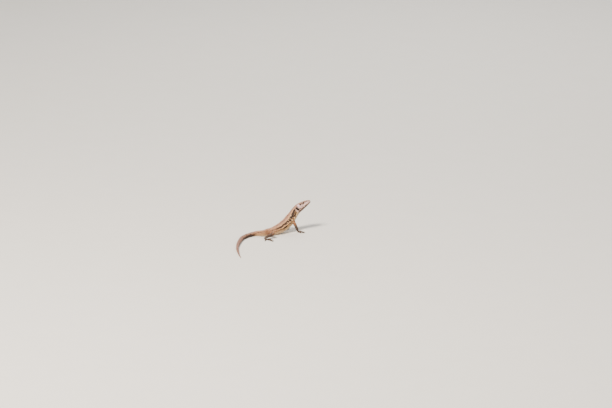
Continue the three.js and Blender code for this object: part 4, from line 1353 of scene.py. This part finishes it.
lidRows = {
    "rise": ([0, 0.18, 0.36, 0.75], [0.12, 0.14, 0.12, -0.04]),  # the lids' height over the ball
    "spread": [0.12, 0.28, 0.44, 0.61], "count": [32, 36, 38, 40], "long": 0.2, "wide": 0.21, "high": 0.035,
    "outside": [(1.28, 26), (1.56, 31), (1.84, 37)],  # distance from the eye's middle, number of granules
    "outsideSize": (0.27, 0.3, 0.05),  # long, wide, high
    "lift": (0.15, 0.3), "clear": 1.97, "facing": 0.72,
}
face = {"long": 0.31, "wide": 0.33, "high": 0.055, "over": 1.13}
layRows("headScales", shapes["bead"], onSkin, "body", headEnd, 1.0, 15.4, -90, 270, face, offFace)

# Rows of granules on the lids round each eye, and on the skin just outside them.
for side, socket in eyes.items():
    def onRim(out, turn):
        return onLid(socket, turn, out, np.interp(out, *lidRows["rise"]))

    for row, (spread, count) in enumerate(zip(lidRows["spread"], lidRows["count"])):
        turns = (np.arange(count) + 0.5 * (row % 2)) / count * 360
        lay("headScales", shapes["bead"], onRim, "body", headEnd, spread, turns, lidRows["long"],
            lidRows["wide"], lidRows["high"], offShields if spread > 0.4 else None, tree=rimTree)

    def aroundEye(out, turn):
        angle = np.radians(turn)
        lift = lidRows["lift"][0] + lidRows["lift"][1] * np.sin(angle) - 0.2 * (out - 1.3)
        flat = np.stack([out * np.cos(angle), out * np.sin(angle), lift], -1)
        return socket["centre"] + flat @ socket["axes"]

    def openSkin(points):  # clear of the shields, and not on the steep edge under the lids
        return offShields(points) & (draped(points)[1] @ socket["axes"][2] > lidRows["facing"])

    for row, (out, count) in enumerate(lidRows["outside"]):
        turns = (np.arange(count) + 0.5 * (row % 2)) / count * 360
        lay("headScales", shapes["bead"], aroundEye, "body", headEnd, out, turns, *lidRows["outsideSize"],
            openSkin)

# Back and flanks: small rounded granules in rows round the body.
back = {
    "long": 0.385, "wide": 0.39, "high": 0.08, "over": 1.13,
    "start": 15.5, "end": 56.6, "left": -36, "right": 216,
}


def backGrowth(at):  # smaller on the neck, larger on the rump
    return 0.84 + 0.16 * smooth(15, 24, np.array(at)) + 0.14 * smooth(48, 56, np.array(at))


layRows("backScales", shapes["granule"], onSkin, "body", spineLength, back["start"], back["end"],
        back["left"], back["right"], back, outsideLimbs, backGrowth)

# Underside: throat scales, a collar, six rows of broad plates that lap backward, and a plate before the
# vent.
belly = {
    "long": 1.28, "high": 0.07, "rows": 6, "span": 53, "start": 21.0, "end": 53.3,
    "over": 1.14, "beside": 1.05,  # how far a plate laps the next behind it and beside it
}
throat = {
    "long": 0.42, "wide": 0.46, "high": 0.06, "over": 1.12,
    "start": 15.5, "end": 20.5, "right": -148, "left": -32,
}
collar = {"at": 19.3, "long": 0.95, "wide": 0.72, "high": 0.1}
anal = {"at": 54.3, "long": 1.5, "wide": 2.7, "high": 0.08}


def roundCollar(points):
    return outsideLimbs(points) & (np.abs(inBody(points)["at"] - collar["at"]) > 0.4)


layRows("bellyPlates", shapes["scute"], onSkin, "body", spineLength, throat["start"], throat["end"],
        throat["right"], throat["left"], throat, roundCollar)
turns, wide = rowRound(onSkin, collar["at"], throat["right"] + 4, throat["left"] - 4, collar["wide"], 0.5)
lay("bellyPlates", shapes["plate"], onSkin, "body", spineLength, collar["at"], turns, collar["long"],
    wide * belly["beside"], collar["high"], outsideLimbs, tone=0.5)
rows = np.arange(belly["start"], belly["end"], belly["long"])
for k in range(belly["rows"]):
    share = (k + 0.5) / belly["rows"] * 2 - 1
    turn = -90 + share * belly["span"]
    low, high = -90 - belly["span"], -90 + belly["span"]
    wide = np.array([rowRound(onSkin, at, low, high, 9, 0.5)[1] * 3 for at in rows])
    lay("bellyPlates", shapes["plate"], onSkin, "body", spineLength, rows, np.full(len(rows), turn),
        belly["long"] * belly["over"], wide / belly["rows"] * belly["beside"], belly["high"],
        outsideLimbs, tone=0.5)
lay("bellyPlates", shapes["plate"], onSkin, "body", spineLength, anal["at"], -90, anal["long"],
    anal["wide"], anal["high"], tone=0.3)


def roundVent(points):
    place = inBody(points)
    onPlate = np.abs(place["at"] - anal["at"]) < anal["long"] / 2 + 0.1
    onPlate &= np.abs(place["x"]) < anal["wide"] / 2
    return outsideLimbs(points) & ~onPlate & (np.abs(place["at"] - folds["vent"]["at"]) > 0.22)


layRows("bellyPlates", shapes["scute"], onSkin, "body", spineLength, belly["end"] + 0.1, 56.7,
        throat["right"], throat["left"], throat, roundVent)

# Tail: whorls of keeled scales, each whorl over the front of the next.
whorl = {
    "start": 56.9, "long": 1.0, "wide": 0.62, "high": 0.08, "over": 1.2,
    "shorter": 0.3, "narrower": 0.22, "thinner": 0.4,  # by the tail tip
    "small": 0.35, "grown": 5,  # the first whorls are small, and full size after some mm
}
at = whorl["start"]
while at < spineLength - 0.8:
    share = (at - whorl["start"]) / (spineLength - whorl["start"])
    early = 1 - whorl["small"] * (1 - smooth(whorl["start"], whorl["start"] + whorl["grown"], at))
    long = (whorl["long"] - whorl["shorter"] * share) * early
    wide = (whorl["wide"] - whorl["narrower"] * share) * early
    turns, wide = rowRound(onSkin, at, -90, 270, wide, 0.5)
    lay("tailScales", shapes["keeled"], onSkin, "body", spineLength, at, turns, long * whorl["over"],
        wide * 1.04, whorl["high"] * (1 - whorl["thinner"] * share), outsideLimbs)
    at += long

# Legs: small scales, and rings of scutes along the fingers and toes.
leg = {"long": 0.42, "wide": 0.44, "high": 0.065, "over": 1.14}
hand = {"long": 0.34, "wide": 0.36, "high": 0.05, "over": 1.14}
ring = {"long": 0.36, "count": 5, "high": 0.045, "over": 1.12}


def sunkUnder(line, depth):
    surface = onLine(line)

    def onSunk(at, turn):
        return surface(at, turn, -depth)

    return onSunk


for name, line in limbs.items():
    long = line["at"][-1]
    layRows("legScales", shapes["granule"], sunkUnder(line, body["coat"]), name, long, 0.6, long - 0.3,
            0, 360, leg, outsideBody)
outsideWrists = outsideOf(limbs, 0, -0.1)


def offWrists(points):
    return outsideDigits(points) & outsideWrists(points)


for name, palm in palms.items():
    girth, heading = palm["girth"], palm["heading"]
    ahead, across = (np.array([math.cos(a), math.sin(a), 0]) for a in (heading, heading + math.pi / 2))

    def onPalm(at, turn):
        x = np.clip(at - girth["long"], -0.99 * girth["long"], 0.99 * girth["long"])[..., None]
        turn = np.radians(turn)[..., None]
        radius = np.sqrt(1 - (x / girth["long"]) ** 2)
        return (palm["middle"] + ahead * x + across * np.cos(turn) * radius * (girth["wide"] - body["coat"])
                + np.array([0, 0, 1]) * np.sin(turn) * radius * (girth["high"] - body["coat"]))

    long = 2 * girth["long"]
    layRows("footScales", shapes["granule"], onPalm, "palm" + name, long, 0.15, long, 0, 360, hand, offWrists)

for name, line in digits.items():
    onDigit = sunkUnder(line, body["coat"] * digit["coat"])
    rows = np.arange(0.7, line["at"][-1] - 0.15, ring["long"])
    for k in range(ring["count"]):
        turn = 90 + 360 / ring["count"] * k
        radius = look(line, "radius", rows)
        lay("footScales", shapes["scute"], onDigit, name, line["at"][-1], rows, np.full(len(rows), turn),
            ring["long"] * ring["over"], radius * 2 * np.pi / ring["count"] * 1.02, ring["high"])

for name, finish, slotName in (("headShields", "keratinPlate", "head_skin"),
                               ("headScales", "keratinScale", "head_skin"),
                               ("backScales", "keratinScale", "trunk_skin"),
                               ("bellyPlates", "keratinPlate", "trunk_skin"),
                               ("tailScales", "keratinScale", "tail_skin"),
                               ("legScales", "keratinScale", "leg_skin"),
                               ("footScales", "keratinScale", "leg_skin")):
    makePiece(name, joined(name), finishes[finish], slotName)

# A plain pale floor.
floorMesh = bmesh.new()
bmesh.ops.create_grid(floorMesh, x_segments=1, y_segments=1, size=6.0)
floor = bpy.data.objects.new("floor", meshOf(floorMesh, "floor"))
paper, tree, shader = material("palePaper", Roughness=0.85)
grain = addNode(tree, "TexNoise", [addNode(tree, "TexCoord").outputs["Object"], 40.0, 3.0])
plug(tree, shader.inputs["Base Color"],
     addNode(tree, "Mix", [grain, linear("e2dfd8"), linear("e6e3dd")], data_type="RGBA"))
floor.data.materials.append(paper)
bpy.context.scene.collection.objects.link(floor)
